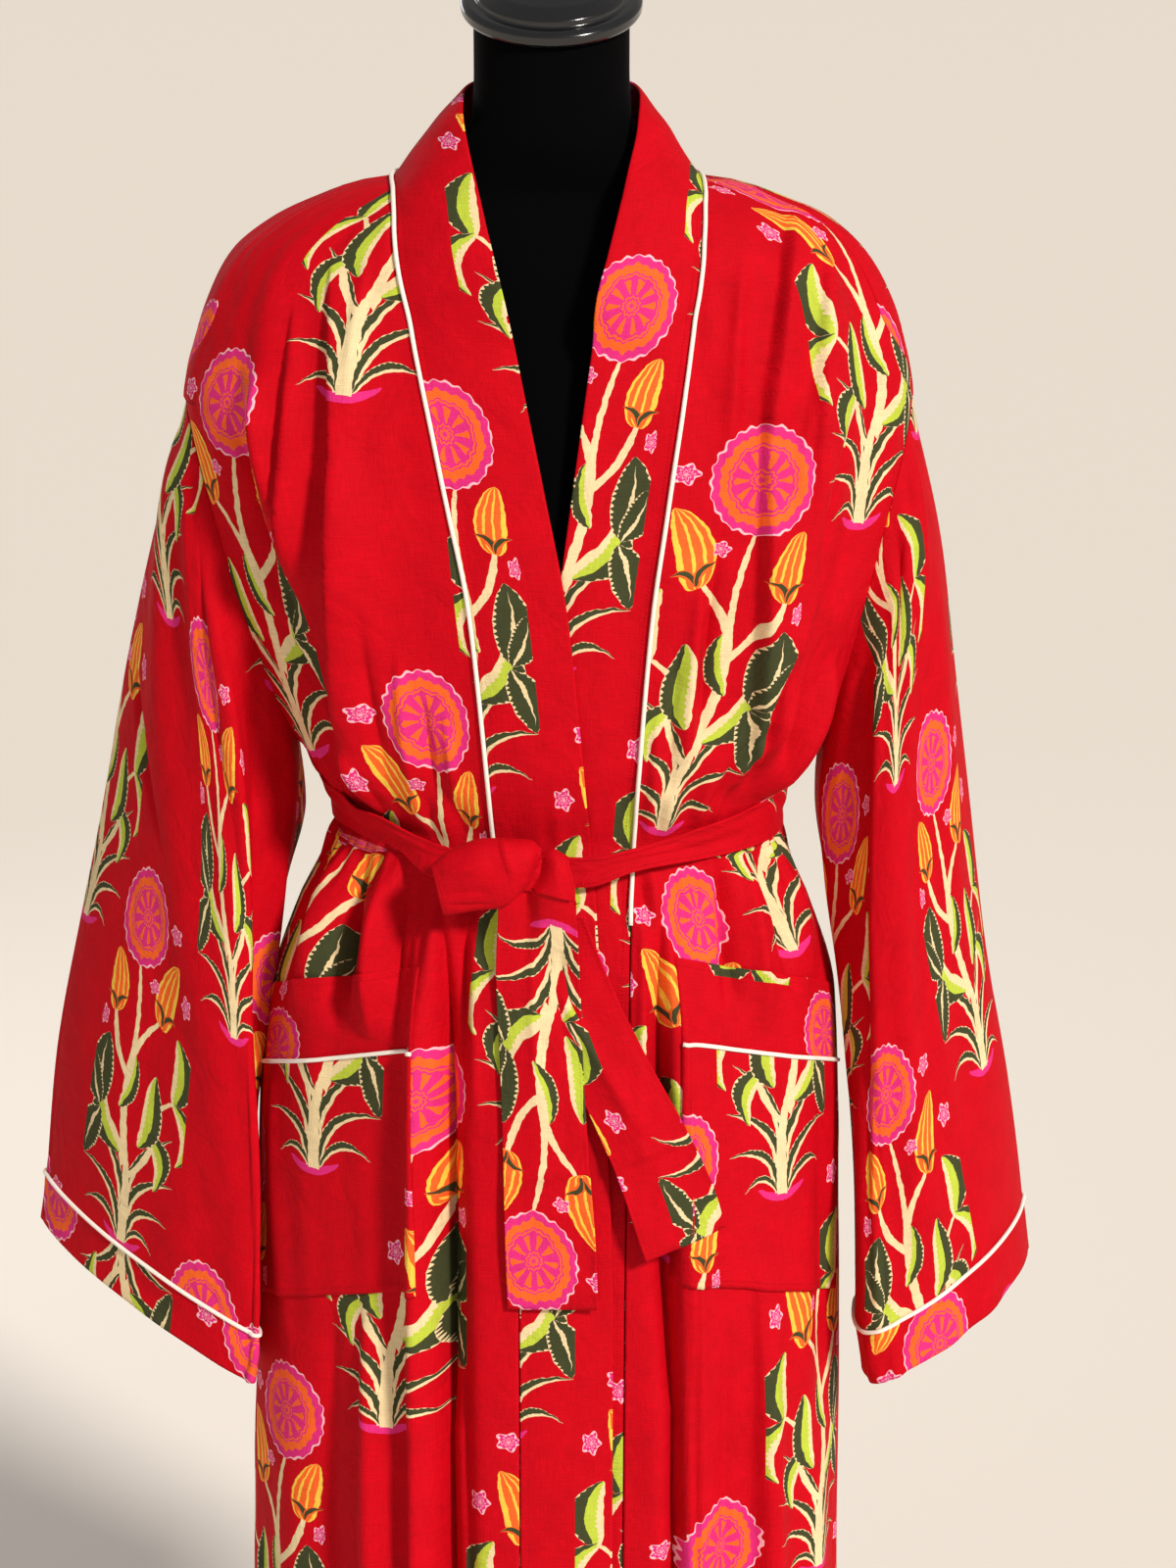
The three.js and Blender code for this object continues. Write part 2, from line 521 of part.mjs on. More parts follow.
/** A band's grid of places: on the chest it lies on the field, round the neck it spans its two edges. */
function bandGrid(side) {
  const { chest, collar } = bandRows(side);
  const rows = chest.map(({ seam, free }) => BAND_SHARES.map((share) => {
    const x = mix(seam.x, free.x, share + (SEAM * (1 - share)) / BAND_WIDTH);
    const z = mix(seam.z, free.z, share);
    return place(turnAt(x, z), z, side === "left" ? underlap(x, z) : 0);
  }));
  const edges = collar.map(({ seam, free }) => {
    const sewn = place(seam.turn, seam.z).spot;
    return [sewn.addScaledVector(free.clone().sub(sewn).normalize(), COLLAR_GAP), free];
  });
  if (side === "right") edges[edges.length - 1].forEach((spot) => spot.setX(-SEAM / 2));
  else edges[edges.length - 1].forEach((spot) => spot.setX(SEAM / 2));
  edges.forEach(([sewn, free], i) => {
    const [before, after] = [edges[Math.max(i - 1, 0)], edges[Math.min(i + 1, edges.length - 1)]];
    const along = after[0].clone().add(after[1]).sub(before[0]).sub(before[1]);
    const out = free.clone().sub(sewn).cross(along).normalize();
    if (side === "left") out.negate();
    if (i === edges.length - 1) out.setX(0).normalize();
    rows.push(BAND_SHARES.map((share) => ({ spot: sewn.clone().lerp(free, share), out })));
  });
  return rows;
}

const PIPING_FOOT = 960;     // the neck piping ends just below the belt

/** Piping along the neck seam: in the valley between the panels and the band, from belt to belt. */
function neckPiping() {
  const half = (side) => bandGrid(side).map((row) => row[0]).filter(({ spot }) => spot.z > PIPING_FOOT)
    .map(({ spot, out }) => {
      const panelOut = outward(turnAt(spot.x, spot.z) * (spot.y < 0 ? 1 : -1), spot.z);
      const valley = spot.z > COLLAR_FROM ? out.clone().add(panelOut).normalize() : out;
      return { spot: spot.clone().addScaledVector(valley, SEAM), out: valley };
    });
  return cord([...half("right"), ...half("left").reverse().slice(1)], PIPING);
}

// ---------------------------------------------------------------- belt
const BELT = { lift: 1.6, frontLift: 5.4 };
const BELT_COLUMNS = 36;

// The belt round the waist: its middle and half its width. It dips to the knot and bunches beside it.
const BELT_LINE = [
  { turn: -180, z: 1021, half: 17 },
  { turn: -90, z: 1022, half: 18 },
  { turn: 0, z: 1028, half: 16 },
  { turn: 42, z: 1023, half: 13 },
  { turn: 60, z: 1006, half: 13 },
  { turn: 78, z: 1000, half: 14 },
  { turn: 97, z: 1000, half: 11 },
  { turn: 109, z: 1007, half: 10 },
  { turn: 128, z: 1015, half: 14 },
  { turn: 180, z: 1021, half: 17 },
];

/** The highest fold near a place, because a taut strip lies on the crests. */
function crest(turn, z) {
  const heights = [-8, -4, 0, 4, 8].flatMap((off) => [-16, 0, 16].map((up) => foldHeight(turn + off, z + up)));
  return Math.max(0, ...heights);
}

/** A place on a strip that lies over the robe. */
function over(turn, z, lift) {
  const out = outward(turn, z);
  return { spot: ringSpot(turn, z).addScaledVector(out, crest(turn, z) + lift), out };
}

function beltRound() {
  const turns = Array.from({ length: BELT_COLUMNS }, (_, k) => (360 * k) / BELT_COLUMNS - 180);
  const grid = [1, 0, -1].map((row) => turns.map((turn) => {
    const lift = mix(BELT.lift, BELT.frontLift, ease(42, 60, turn) * ease(138, 120, turn)) + WALL;
    const middle = read(BELT_LINE, "turn", "z", turn);
    const z = middle + row * read(BELT_LINE, "turn", "half", turn);
    const [edge, waist] = [over(turn, z, lift), over(turn, middle, lift)];
    const reach = Math.max(Math.hypot(edge.spot.x, edge.spot.y), Math.hypot(waist.spot.x, waist.spot.y) - 1);
    const scale = reach / Math.hypot(edge.spot.x, edge.spot.y);
    return { spot: point(edge.spot.x * scale, edge.spot.y * scale, z), out: waist.out };
  }));
  const shift = (lift) => grid.map((row) => row.map(({ spot, out }) => spot.clone().addScaledVector(out, lift)));
  return wall(shift(0), shift(-WALL), true);
}

// The knot, from its right end to its left: middle height, half height, and half depth.
const KNOT = [
  { x: -76, z: 993, half: 17, deep: 6 },
  { x: -66, z: 996, half: 21, deep: 11 },
  { x: -48, z: 1000, half: 23, deep: 12.5 },
  { x: -26, z: 1001, half: 25, deep: 13 },
  { x: -4, z: 998, half: 24, deep: 12.5 },
  { x: 8, z: 995, half: 21, deep: 11 },
  { x: 15, z: 993, half: 18, deep: 6 },
];
const KNOT_DEPTH = -138.7;   // y of the knot's middle
const KNOT_SIDES = 14;

/** A rounded, slightly square pair of cosine and sine; a power of 1 gives a circle. */
function roundPair(k, sides, power) {
  const [c, s] = [Math.cos((2 * Math.PI * k) / sides), Math.sin((2 * Math.PI * k) / sides)];
  return [c, s].map((value) => Math.sign(value) * Math.abs(value) ** power);
}

function beltKnot() {
  return ringSolid(KNOT.map(({ x, z, half, deep }) => Array.from({ length: KNOT_SIDES }, (_, k) => {
    const [c, s] = roundPair(k, KNOT_SIDES, 0.8);
    return point(x, KNOT_DEPTH - deep * c, z + half * s);
  })));
}

// The belt's free ends: the strip's two edges and how far it stands off the robe, from the knot down.
const END_FRONT = [
  { z: 973, from: -34, to: 16, lift: 5.4 },
  { z: 930, from: -36, to: 18, lift: 5.6 },
  { z: 860, from: -34, to: 21, lift: 7 },
  { z: 790, from: -32, to: 25, lift: 6.8 },
  { z: 745, from: -31, to: 28, lift: 6 },
  { z: 700, from: -30, to: 30, lift: 6 },
];
const END_UNDER = [
  { z: 970, from: -12, to: 21, lift: 2.4 },
  { z: 930, from: -10, to: 37, lift: 2.6 },
  { z: 880, from: 6, to: 60, lift: 3 },
  { z: 830, from: 28, to: 84, lift: 5.4 },
  { z: 790, from: 44, to: 100, lift: 6 },
  { z: 744, from: 60, to: 112, lift: 6 },
];
const END_SLANT = { front: 0, under: 9 };   // how much lower the inner corner of an end lies

function beltEnd(table, slant) {
  const grid = table.map(({ z, from, to, lift }, i) => [0, 1 / 3, 2 / 3, 1].map((share) => {
    const x = mix(from, to, share);
    const height = z + (i === table.length - 1 ? slant * (2 * share - 1) : 0);
    return over(turnAt(x, height), height, lift);
  }));
  return panel(grid);
}

// ---------------------------------------------------------------- dress form
/** The form's torso and neck: rings that lean forward towards the neck's top. */
function formTorso() {
  const heights = TORSO.map(({ z }) => z);
  return ringSolid(heights.map((z) => {
    const lean = Math.tan(radians(NECK_TILT)) * ease(1480, 1556, z);
    const wide = read(TORSO, "z", "wide", z);
    return Array.from({ length: TORSO_SIDES }, (_, k) => {
      const [c, s] = roundPair(k, TORSO_SIDES, 0.95);
      const y = -s * read(TORSO, "z", s > 0 ? "front" : "back", z);
      return point(-wide * c, y, z + lean * y);
    });
  }));
}

/** A solid turned about Z from a profile of [radius, height] pairs that starts and ends on the axis. */
const turned = (profile, sides) => new THREE.LatheGeometry(
  profile.map(([radius, height]) => new THREE.Vector2(radius, height)), sides).rotateX(Math.PI / 2);

const CAP = [[0, 0], [58, 0], [60, 2.5], [60, 8], [57, 10.5], [51, 11], [50, 15], [40, 20], [22, 24], [0, 25]];
const BASE = [[0, 0], [186, 0], [BASE_RADIUS, 4], [BASE_RADIUS, 9], [184, 13], [60, 22], [26, 34], [24, 52], [0, 52]];

// ---------------------------------------------------------------- the object
const finish = (color, roughness, metalness = 0) => new THREE.MeshStandardMaterial({ color, roughness, metalness });
const cotton = finish(RED, 0.85);
const corded = finish(WHITE, 0.8);
const velvet = finish(0x050506, 0.95);
const gloss = finish(0x15161a, 0.25);
const metal = finish(0x2a2b2e, 0.4, 0.6);

const object = new THREE.Group();

function add(name, geometry, material, height = 0) {
  const mesh = new THREE.Mesh(geometry, material);
  mesh.name = name;
  mesh.position.z = height;
  object.add(mesh);
  return mesh;
}

add("back", panel(backGrid()), cotton);
for (const side of ["right", "left"]) {
  add(`front_${side}`, panel(frontGrid(side)), cotton);
  add(`band_${side}`, panel(bandGrid(side)), cotton);
  add(`sleeve_${side}`, sleeve(side), cotton);
  add(`cuff_${side}`, cuff(side), cotton);
  add(`cuff_piping_${side}`, cuffPiping(side), corded);
  add(`pocket_${side}`, pocket(side), cotton);
  add(`pocket_band_${side}`, pocketBand(side), cotton);
  add(`pocket_piping_${side}`, pocketPiping(side), corded);
}
add("neck_piping", neckPiping(), corded);
add("belt_round", beltRound(), cotton);
add("belt_knot", beltKnot(), cotton);
add("belt_end_front", beltEnd(END_FRONT, END_SLANT.front), cotton);
add("belt_end_under", beltEnd(END_UNDER, END_SLANT.under), cotton);

add("form_torso", formTorso(), velvet);
const capHeight = TORSO[TORSO.length - 1].z + SEAM / Math.cos(radians(NECK_TILT));
add("form_neck_cap", turned(CAP, 40), gloss, capHeight).rotation.x = radians(NECK_TILT);
const baseTop = BASE[BASE.length - 1][1];
const poleLength = TORSO[0].z - baseTop - 2 * SEAM;
const pole = new THREE.CylinderGeometry(POLE_RADIUS, POLE_RADIUS, poleLength, 20).rotateX(Math.PI / 2);
add("form_pole", pole, metal, baseTop + SEAM + poleLength / 2);
add("form_base", turned(BASE, 48), metal);

export default object;
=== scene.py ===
# %% [markdown]
# # A cotton kimono robe on a dress form
# The robe is printed red cotton, wrapped right over left and tied with its own belt. It hangs on a
# limbless, velvet-covered form with a pole and a round base. The frame gives each cut piece its place;
# here every piece is made again as a fine surface with its creases, its print and its stitches.
# Everything is in metres, +Z up, the front faces -Y. "Right" is the wearer's right, -X.

# %% Load the frame
import math

import bpy
import numpy as np
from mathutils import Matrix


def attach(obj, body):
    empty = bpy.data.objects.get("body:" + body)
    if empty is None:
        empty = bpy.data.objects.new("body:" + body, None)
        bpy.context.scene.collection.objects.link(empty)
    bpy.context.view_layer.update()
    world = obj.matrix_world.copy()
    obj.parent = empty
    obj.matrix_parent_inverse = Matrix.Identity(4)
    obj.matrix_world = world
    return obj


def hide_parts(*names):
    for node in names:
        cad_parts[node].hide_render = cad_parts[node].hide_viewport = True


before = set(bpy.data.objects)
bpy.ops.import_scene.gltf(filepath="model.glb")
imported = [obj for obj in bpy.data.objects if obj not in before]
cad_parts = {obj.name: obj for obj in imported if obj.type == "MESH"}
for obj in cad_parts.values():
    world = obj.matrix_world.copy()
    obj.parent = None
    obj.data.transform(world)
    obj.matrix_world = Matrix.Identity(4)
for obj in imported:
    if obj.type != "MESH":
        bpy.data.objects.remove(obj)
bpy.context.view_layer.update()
MM = 0.001

# %% [markdown]
# ## Reading the sizes
# The body of the robe is a stack of level rings. Each ring is four quarter ellipses, so a place on the
# cloth is a turn (degrees, 0 at the right side, 90 at the front, 180 at the left side, -90 at the back)
# and a height. The tables hold the same sizes as the frame's pieces, so a fine surface lies where the
# frame's plain one does. A table is read with a curve that passes every row and never overshoots.


# %% Tables and their curves
def columns(names, rows, scale=MM):
    """Named columns from rows of numbers; `scale` turns millimetres to metres."""
    values = np.array(rows, float) * scale
    return {name: values[:, k] for k, name in enumerate(names.split())}


def curve(keys, values, at):
    """Cubic through all rows; the slope at a row is the harmonic mean of its two neighbours' slopes."""
    order = np.argsort(keys)
    x, y = keys[order], values[order]
    at = np.clip(at, x[0], x[-1])
    i = np.clip(np.searchsorted(x, at, side="right") - 1, 0, len(x) - 2)
    step = np.diff(x)
    slope = np.diff(y) / step
    before, after = slope[:-1], slope[1:]
    total = np.where(before + after == 0, 1, before + after)
    inner = np.where(before * after > 0, 2 * before * after / total, 0)
    tangent = np.concatenate([slope[:1], inner, slope[-1:]])
    f = (at - x[i]) / step[i]
    return (y[i] * (1 + 2 * f) * (1 - f) ** 2 + y[i + 1] * f * f * (3 - 2 * f)
            + step[i] * (tangent[i] * f * (1 - f) ** 2 + tangent[i + 1] * f * f * (f - 1)))


def read(table, name, at):
    """Column `name` of a table, by the curve over its first column."""
    return curve(next(iter(table.values())), table[name], at)


def either(test, table, name, other, at):
    """Column `name` where the test holds, column `other` elsewhere."""
    return np.where(test, read(table, name, at), read(table, other, at))


def mix(a, b, share):
    """A share of the way from a to b."""
    return a + (b - a) * share


def ease(start, end, at):
    """0 at start, 1 at end, with a soft S between; start may be the larger."""
    f = np.clip((np.asarray(at, float) - start) / (end - start), 0, 1)
    return f * f * (3 - 2 * f)


def unit(v):
    """Vectors cut or grown to length 1."""
    return v / np.maximum(np.linalg.norm(v, axis=-1, keepdims=True), 1e-12)


RINGS = columns("z right left front back", [
    (1448, 105, 98, 14, 80), (1444, 131, 126, 38, 84), (1435, 155, 154, 58, 89), (1420, 186, 186, 74, 96),
    (1400, 212, 208, 87, 102), (1378, 226, 222, 97, 107), (1350, 237, 233, 107, 111),
    (1300, 248, 243, 119, 115), (1240, 238, 238, 128, 117), (1180, 219, 226, 132, 117),
    (1120, 196, 208, 132, 114), (1072, 176, 184, 129, 110), (1045, 161, 164, 122, 105),
    (1013, 148, 156, 113, 97), (992, 156, 160, 119, 102), (950, 178, 178, 129, 110),
    (885, 199, 197, 135, 118), (800, 207, 201, 138, 124), (695, 211, 203, 140, 130),
    (590, 215, 205, 142, 134), (434, 219, 206, 144, 138), (240, 223, 208, 147, 142)])

# A fold's ridge runs from (turn_top, top) to (turn_foot, foot); it falls off over so many degrees
# before and after its crest and stands so many millimetres high.
FOLDS = [
    (57, 1260, 42, 1040, 4, 12, 9), (40, 1280, 33, 1070, 6, 5, -8), (37, 1400, 45, 1200, 4, 5, 6),
    (145, 1405, 132, 1140, 9, 4, 7), (155, 1380, 144, 1110, 5, 6, -7), (150, 1180, 128, 1045, 7, 6, 8),
    (64, 985, 66.5, 240, 2.4, 3.4, 11), (71, 975, 74, 240, 2.6, 2.6, -5),
    (114, 985, 117, 240, 8, 2.2, 9), (36, 985, 30, 300, 8, 8, 5), (144, 985, 154, 300, 9, 8, 5),
    (-48, 1330, -56, 1045, 8, 6, 8), (-130, 1320, -122, 1045, 6, 9, 8),
    (-60, 985, -50, 240, 7, 8, 9), (-92, 985, -96, 240, 6, 7, 7), (-124, 985, -136, 240, 8, 7, 9)]
FOLD_FADE = 70 * MM
HEM = 240 * MM
NECK_SEAM = 1448 * MM
SEAM = 0.3 * MM


# %% The body's surface
def wrapped(turn):
    """A turn as -180 to 180 degrees."""
    return (np.asarray(turn) + 540) % 360 - 180


def ring_spot(turn, z):
    """Ellipse place: x = -reach cos(turn), y = -reach sin(turn), with each quarter's own reach."""
    turn, z = np.broadcast_arrays(np.radians(turn), z)
    c, s = np.cos(turn), np.sin(turn)
    reach_x, reach_y = either(c > 0, RINGS, "right", "left", z), either(s > 0, RINGS, "front", "back", z)
    return np.stack([-reach_x * c, -reach_y * s, z], -1)


def outward(turn, z):
    """The way out: the slope round the ring crossed with the slope up."""
    level = np.minimum(z, NECK_SEAM - 2 * MM)
    round_ = ring_spot(turn + 2, level) - ring_spot(turn - 2, level)
    up = ring_spot(turn, level + 2 * MM) - ring_spot(turn, level - 2 * MM)
    return unit(np.cross(round_, up))


def fold_height(turn, z):
    """Sum of the folds: each a bell curve across its ridge that fades in and out along it."""
    total = np.zeros(np.broadcast(turn, z).shape)
    for turn_top, top, turn_foot, foot, before, after, height in FOLDS:
        top, foot = top * MM, foot * MM
        off = wrapped(turn - mix(turn_top, turn_foot, (top - z) / (top - foot)))
        head = ease(top + FOLD_FADE / 2, top - FOLD_FADE / 2, z)
        tail = 1 if foot <= HEM else ease(foot - FOLD_FADE / 2, foot + FOLD_FADE / 2, z)
        total = total + height * MM * head * tail * np.exp(-(off / np.where(off < 0, before, after)) ** 2)
    return total


def turn_at(x, z):
    """The turn where the front of the ring at height z stands at x."""
    turn = np.degrees(np.arccos(np.clip(np.abs(x) / either(x < 0, RINGS, "right", "left", z), 0, 1)))
    return np.where(x < 0, turn, 180 - turn)


print(len(RINGS["z"]), "rings and", len(FOLDS), "folds")

# %% [markdown]
# ## Creases placed one by one
# Cotton lawn hangs in a few broad folds and many small soft creases: drag lines from the shoulder and
# armhole, gathers above and below the belt, pressed lines, and slack under the arm. Each crease is a
# trough or ridge between two points, given as x and height in millimetres. It is widest in its middle
# and fades at both ends. A little smooth waviness keeps the cloth between them from looking ironed.

# %% Small creases of the body
# x and z of both ends, width on its right hand (-x) and left hand (+x) side, height (minus is a
# trough), bow sideways; a narrow and a wide side make the edge of a pressed or overlapping fold
FRONT_CREASES = [
    (-142, 1400, -133, 1035, 3, 30, 12, 0), (-166, 1370, -168, 1130, 3, 18, 9, 3),
    (-190, 1330, -180, 1180, 4, 18, 9, 0), (158, 1432, 138, 1284, 3, 28, 10, 0),
    (140, 1330, 129, 1040, 3, 30, 12, -2), (178, 1400, 170, 1230, 4, 16, 8, 3),
    (154, 1150, 130, 1046, 7, 5, -11, 4), (190, 1130, 138, 1036, 8, 20, 13, 0),
    (-138, 1008, -172, 880, 5, 14, 10, 3), (-122, 1004, -146, 880, 5, 5, -8, 4),
    (-108, 1000, -122, 880, 4, 12, 7, 3), (-73, 985, -74, 600, 4, 10, -22, 0),
    (-75, 790, -76, 180, 4, 10, -22, 0), (-90, 985, -93, 600, 4, 9, 6, 0),
    (-95, 790, -93, 180, 4, 9, 6, 0), (72, 985, 84, 620, 14, 3, -20, 0),
    (82, 790, 95, 180, 14, 3, -20, 0), (84, 975, 97, 560, 3, 18, 6, 0), (96, 790, 104, 180, 3, 18, 6, 0),
    (-128, 700, -130, 200, 4, 24, 9, 0), (140, 720, 150, 200, 4, 26, 9, 0),
    (112, 1002, 124, 900, 5, 6, -8, 0), (-118, 1400, -128, 1290, 8, 8, 4, 3),
    (-200, 1330, -176, 1200, 9, 9, 5.6, -6), (-214, 1300, -188, 1180, 6, 6, -5, -5),
    (-190, 1180, -140, 1090, 9, 9, 6.8, -6), (-178, 1150, -128, 1060, 7, 7, -6, -5),
    (-165, 1110, -112, 1046, 7, 7, 6, -4), (-120, 1180, -104, 1050, 7, 7, -4.8, 3),
    (-98, 1150, -88, 1046, 6, 6, 4.4, 2), (-84, 1120, -76, 1040, 5, 5, -4, 1),
    (-70, 1110, -62, 1036, 4, 4, 2.8, 0), (124, 1400, 116, 1260, 8, 8, 4.4, 2),
    (172, 1330, 160, 1220, 8, 8, 4.8, 5), (198, 1300, 176, 1190, 6, 6, -5.2, 5),
    (112, 1230, 98, 1080, 6, 6, -5.2, 3), (98, 1200, 88, 1060, 7, 7, 5.6, 2),
    (84, 1160, 78, 1050, 5, 5, -4, 1), (176, 1190, 132, 1070, 8, 8, 8.4, 8),
    (186, 1160, 150, 1060, 6, 6, -6.8, 6), (160, 1120, 118, 1042, 7, 7, 6, 5),
    (140, 1100, 104, 1040, 5, 5, -5.2, 3), (70, 1110, 66, 1036, 4, 4, 2.8, 0),
    (-124, 1000, -140, 890, 6, 6, -8, 4), (-112, 992, -122, 880, 7, 7, 6.8, 3),
    (-98, 988, -104, 880, 5, 5, -6, 2), (-60, 976, -58, 860, 4, 4, -4, 0),
    (-54, 972, -50, 820, 5, 5, 3.2, 0), (150, 1000, 178, 905, 7, 7, 6.8, -4),
    (138, 1000, 160, 900, 6, 6, -7.2, -4), (124, 998, 142, 880, 7, 7, 6.8, -4),
    (108, 994, 118, 890, 5, 5, -6.4, -2), (60, 980, 61, 760, 4, 4, 4, 0),
    (-190, 860, -182, 640, 9, 9, 4.8, 3), (-150, 700, -156, 420, 12, 12, -5.2, 4),
    (-128, 700, -124, 330, 10, 10, 4.4, -3), (-60, 800, -56, 420, 6, 6, -4.8, 2),
    (120, 700, 126, 380, 10, 10, -4.8, 3), (150, 720, 158, 330, 12, 12, 5.6, 4),
    (182, 820, 188, 560, 9, 9, -4.8, -3)]
BACK_CREASES = [
    (-205, 1330, -150, 1200, 10, 10, 6, -8), (-190, 1280, -140, 1140, 7, 7, -6, -6),
    (205, 1330, 150, 1195, 10, 10, 6, 8), (192, 1270, 136, 1130, 8, 8, -6, 6),
    (-60, 1420, 62, 1416, 10, 10, -4.4, 6), (-40, 1400, 48, 1394, 8, 8, 3.6, 5),
    (-120, 1180, -100, 1060, 7, 7, 5.2, 2), (-86, 1160, -74, 1056, 6, 6, -4.8, 2),
    (-46, 1140, -38, 1050, 6, 6, 4.4, 1), (-8, 1150, -6, 1050, 7, 7, -4.8, 0),
    (34, 1140, 30, 1052, 6, 6, 4.8, 0), (66, 1160, 58, 1054, 6, 6, -4.4, -2),
    (104, 1170, 90, 1056, 7, 7, 5.2, -2), (140, 1140, 118, 1056, 6, 6, -4.8, -3),
    (-130, 990, -150, 880, 8, 8, 6.4, 3), (-108, 990, -118, 860, 6, 6, -6, 3),
    (-70, 985, -74, 840, 7, 7, 5.6, 2), (-30, 985, -32, 820, 6, 6, -5.6, 0),
    (12, 985, 14, 800, 7, 7, 4.8, 0), (52, 985, 56, 830, 6, 6, -5.6, -1),
    (92, 988, 100, 850, 7, 7, 6, -3), (128, 990, 146, 870, 6, 6, -5.6, -3),
    (-170, 800, -176, 400, 13, 13, 5.2, 4), (-20, 780, -16, 330, 12, 12, -4.8, 4),
    (60, 760, 66, 320, 12, 12, 4.8, -4), (150, 800, 158, 360, 13, 13, -5.2, 4)]
CREASE_GAIN = 1.3           # on the body the creases stand this much higher


def crease_height(x, z, creases):
    """Sum of creases: each a soft-tipped ridge, exp(1 - sqrt(1 + (2.2 d/width)^2)), d from a bowed line."""
    total = np.zeros(np.broadcast(x, z).shape)
    for x0, z0, x1, z1, before, after, height, bow in creases:
        along = np.array([x1 - x0, z1 - z0]) * MM
        length = np.hypot(*along)
        along /= length
        dx, dz = x - x0 * MM, z - z0 * MM
        s = (dx * along[0] + dz * along[1]) / length
        d = dx * along[1] - dz * along[0] - bow * MM * 4 * s * (1 - s)
        fade = np.sin(np.pi * np.clip(s, 0, 1)) ** 0.8
        spread = np.where(d > 0, before, after) * MM * (0.7 + 0.5 * np.clip(s, 0, 1))
        total += height * MM * fade * np.exp(1 - np.sqrt(1 + (2.2 * d / spread) ** 2))
    return total


def waviness(a, b, seed, size, count=14):
    """Soft uneven waves: a sum of sines in random directions, more across `a` than along `b` (metres)."""
    rng = np.random.default_rng(seed)
    total = np.zeros(np.broadcast(a, b).shape)
    for _ in range(count):
        ka = rng.normal() * 2 * np.pi / size
        kb = rng.normal() * 2 * np.pi / (size * 3)
        total += np.sin(ka * a + kb * b + rng.uniform(0, 2 * np.pi))
    return total / math.sqrt(count)


BELT_LINE = columns("turn z half", [
    (-180, 1021, 17), (-90, 1022, 18), (0, 1028, 16), (42, 1023, 13), (60, 1006, 13), (78, 1000, 14),
    (97, 1000, 11), (109, 1007, 10), (128, 1015, 14), (180, 1021, 17)])
BELT_LINE["turn"] /= MM     # turns are degrees
MEAN_REACH = 0.18           # metres from the body's middle, to turn degrees into a run of cloth


def small_folds(turn, z):
    """All the small creases at a place: pressed flat under the belt, slight on the doubled middle."""
    spot = ring_spot(turn, z)
    front = np.sin(np.radians(turn)) > 0
    total = CREASE_GAIN * np.where(front, *[crease_height(spot[..., 0], z, creases)
                                            for creases in (FRONT_CREASES, BACK_CREASES)])
    off = z - read(BELT_LINE, "z", wrapped(turn))
    run = np.radians(turn) * MEAN_REACH
    gathers = waviness(run, z * 0.4, seed=5, size=0.024) * np.exp(-((np.abs(off) - 26 * MM) / (22 * MM)) ** 2)
    hang = waviness(run, z * 0.25, seed=9, size=0.085) * (0.5 + 0.9 * ease(1.0, 0.4, z))
    total += (2.4 * gathers + 1.7 * hang + 1.4 * 0.35 * waviness(run, z, seed=12, size=0.045)) * MM
    pressed = 1 - 0.9 * np.exp(-(off / (17 * MM)) ** 4)
    at_neck = ease(1446 * MM, 1425 * MM, z)
    middle = np.where(front, 1 - 0.75 * ease(62 * MM, 40 * MM, np.abs(spot[..., 0] - 5 * MM)), 1)
    return total * pressed * at_neck * middle


def place(turn, z, lift=0.0, gain=1.0):
    """A place on the cloth's outside and the way out there; `gain` is how much of the small folds."""
    turn, z = np.broadcast_arrays(np.asarray(turn, float), np.asarray(z, float))
    out = outward(turn, z)
    height = fold_height(turn, z) + lift + gain * small_folds(turn, z)
    return ring_spot(turn, z) + out * height[..., None], out


print(len(FRONT_CREASES), "creases in front,", len(BACK_CREASES), "behind")

# %% [markdown]
# ## Sleeves' sizes
# A sleeve is a tube set on at a dropped shoulder. Each row of its table has the outer and inner corner
# and the points where it bulges most to the front and to the back.

# %% The sleeves' surface
SLEEVE_NAMES = "ox oy oz ix iy iz fx fy bx by"
SLEEVES = {
    "right": columns(SLEEVE_NAMES, [
        (-247, 6, 1300, -178, 5, 1066, -215, -46, -215, 50),
        (-259, 13, 1256, -176, 16, 1018, -226, -56, -230, 60),
        (-275, 21, 1196, -188, 16, 966, -217, -61, -236, 65),
        (-294, 29, 1118, -202, 12, 912, -212, -63, -243, 68),
        (-315, 37, 1026, -212, 5, 850, -210, -66, -252, 68),
        (-340, 45, 915, -219, 0, 782, -209, -69, -265, 66),
        (-359, 52, 815, -224, -4, 718, -210, -71, -277, 64),
        (-371, 56, 721, -228, -6, 660, -212, -73, -286, 62),
        (-377, 58, 685, -231, -6, 624, -216, -75, -290, 62)]),
    "left": columns(SLEEVE_NAMES, [
        (243, 6, 1300, 186, 5, 1066, 214, -46, 214, 50),
        (253, 12, 1256, 184, 15, 1018, 226, -56, 228, 60),
        (265, 18, 1196, 192, 15, 966, 224, -61, 232, 63),
        (277, 25, 1116, 203, 10, 910, 222, -63, 238, 65),
        (290, 32, 1022, 210, 4, 845, 224, -64, 245, 66), (307, 38, 906, 214, -2, 775, 230, -66, 253, 66),
        (325, 44, 808, 216, -6, 705, 236, -68, 262, 64), (341, 50, 704, 218, -8, 650, 242, -70, 272, 62),
        (347, 52, 664, 223, -8, 612, 248, -72, 276, 62)])}
SIDES = "right", "left"
SLEEVE_ROUND = {"right": 1.7, "left": 2.0}
SLEEVE_ROWS, CUFF_ROW = 8, 7
ARMHOLE_TOP, ARMHOLE_FOOT = 1300 * MM, 1066 * MM


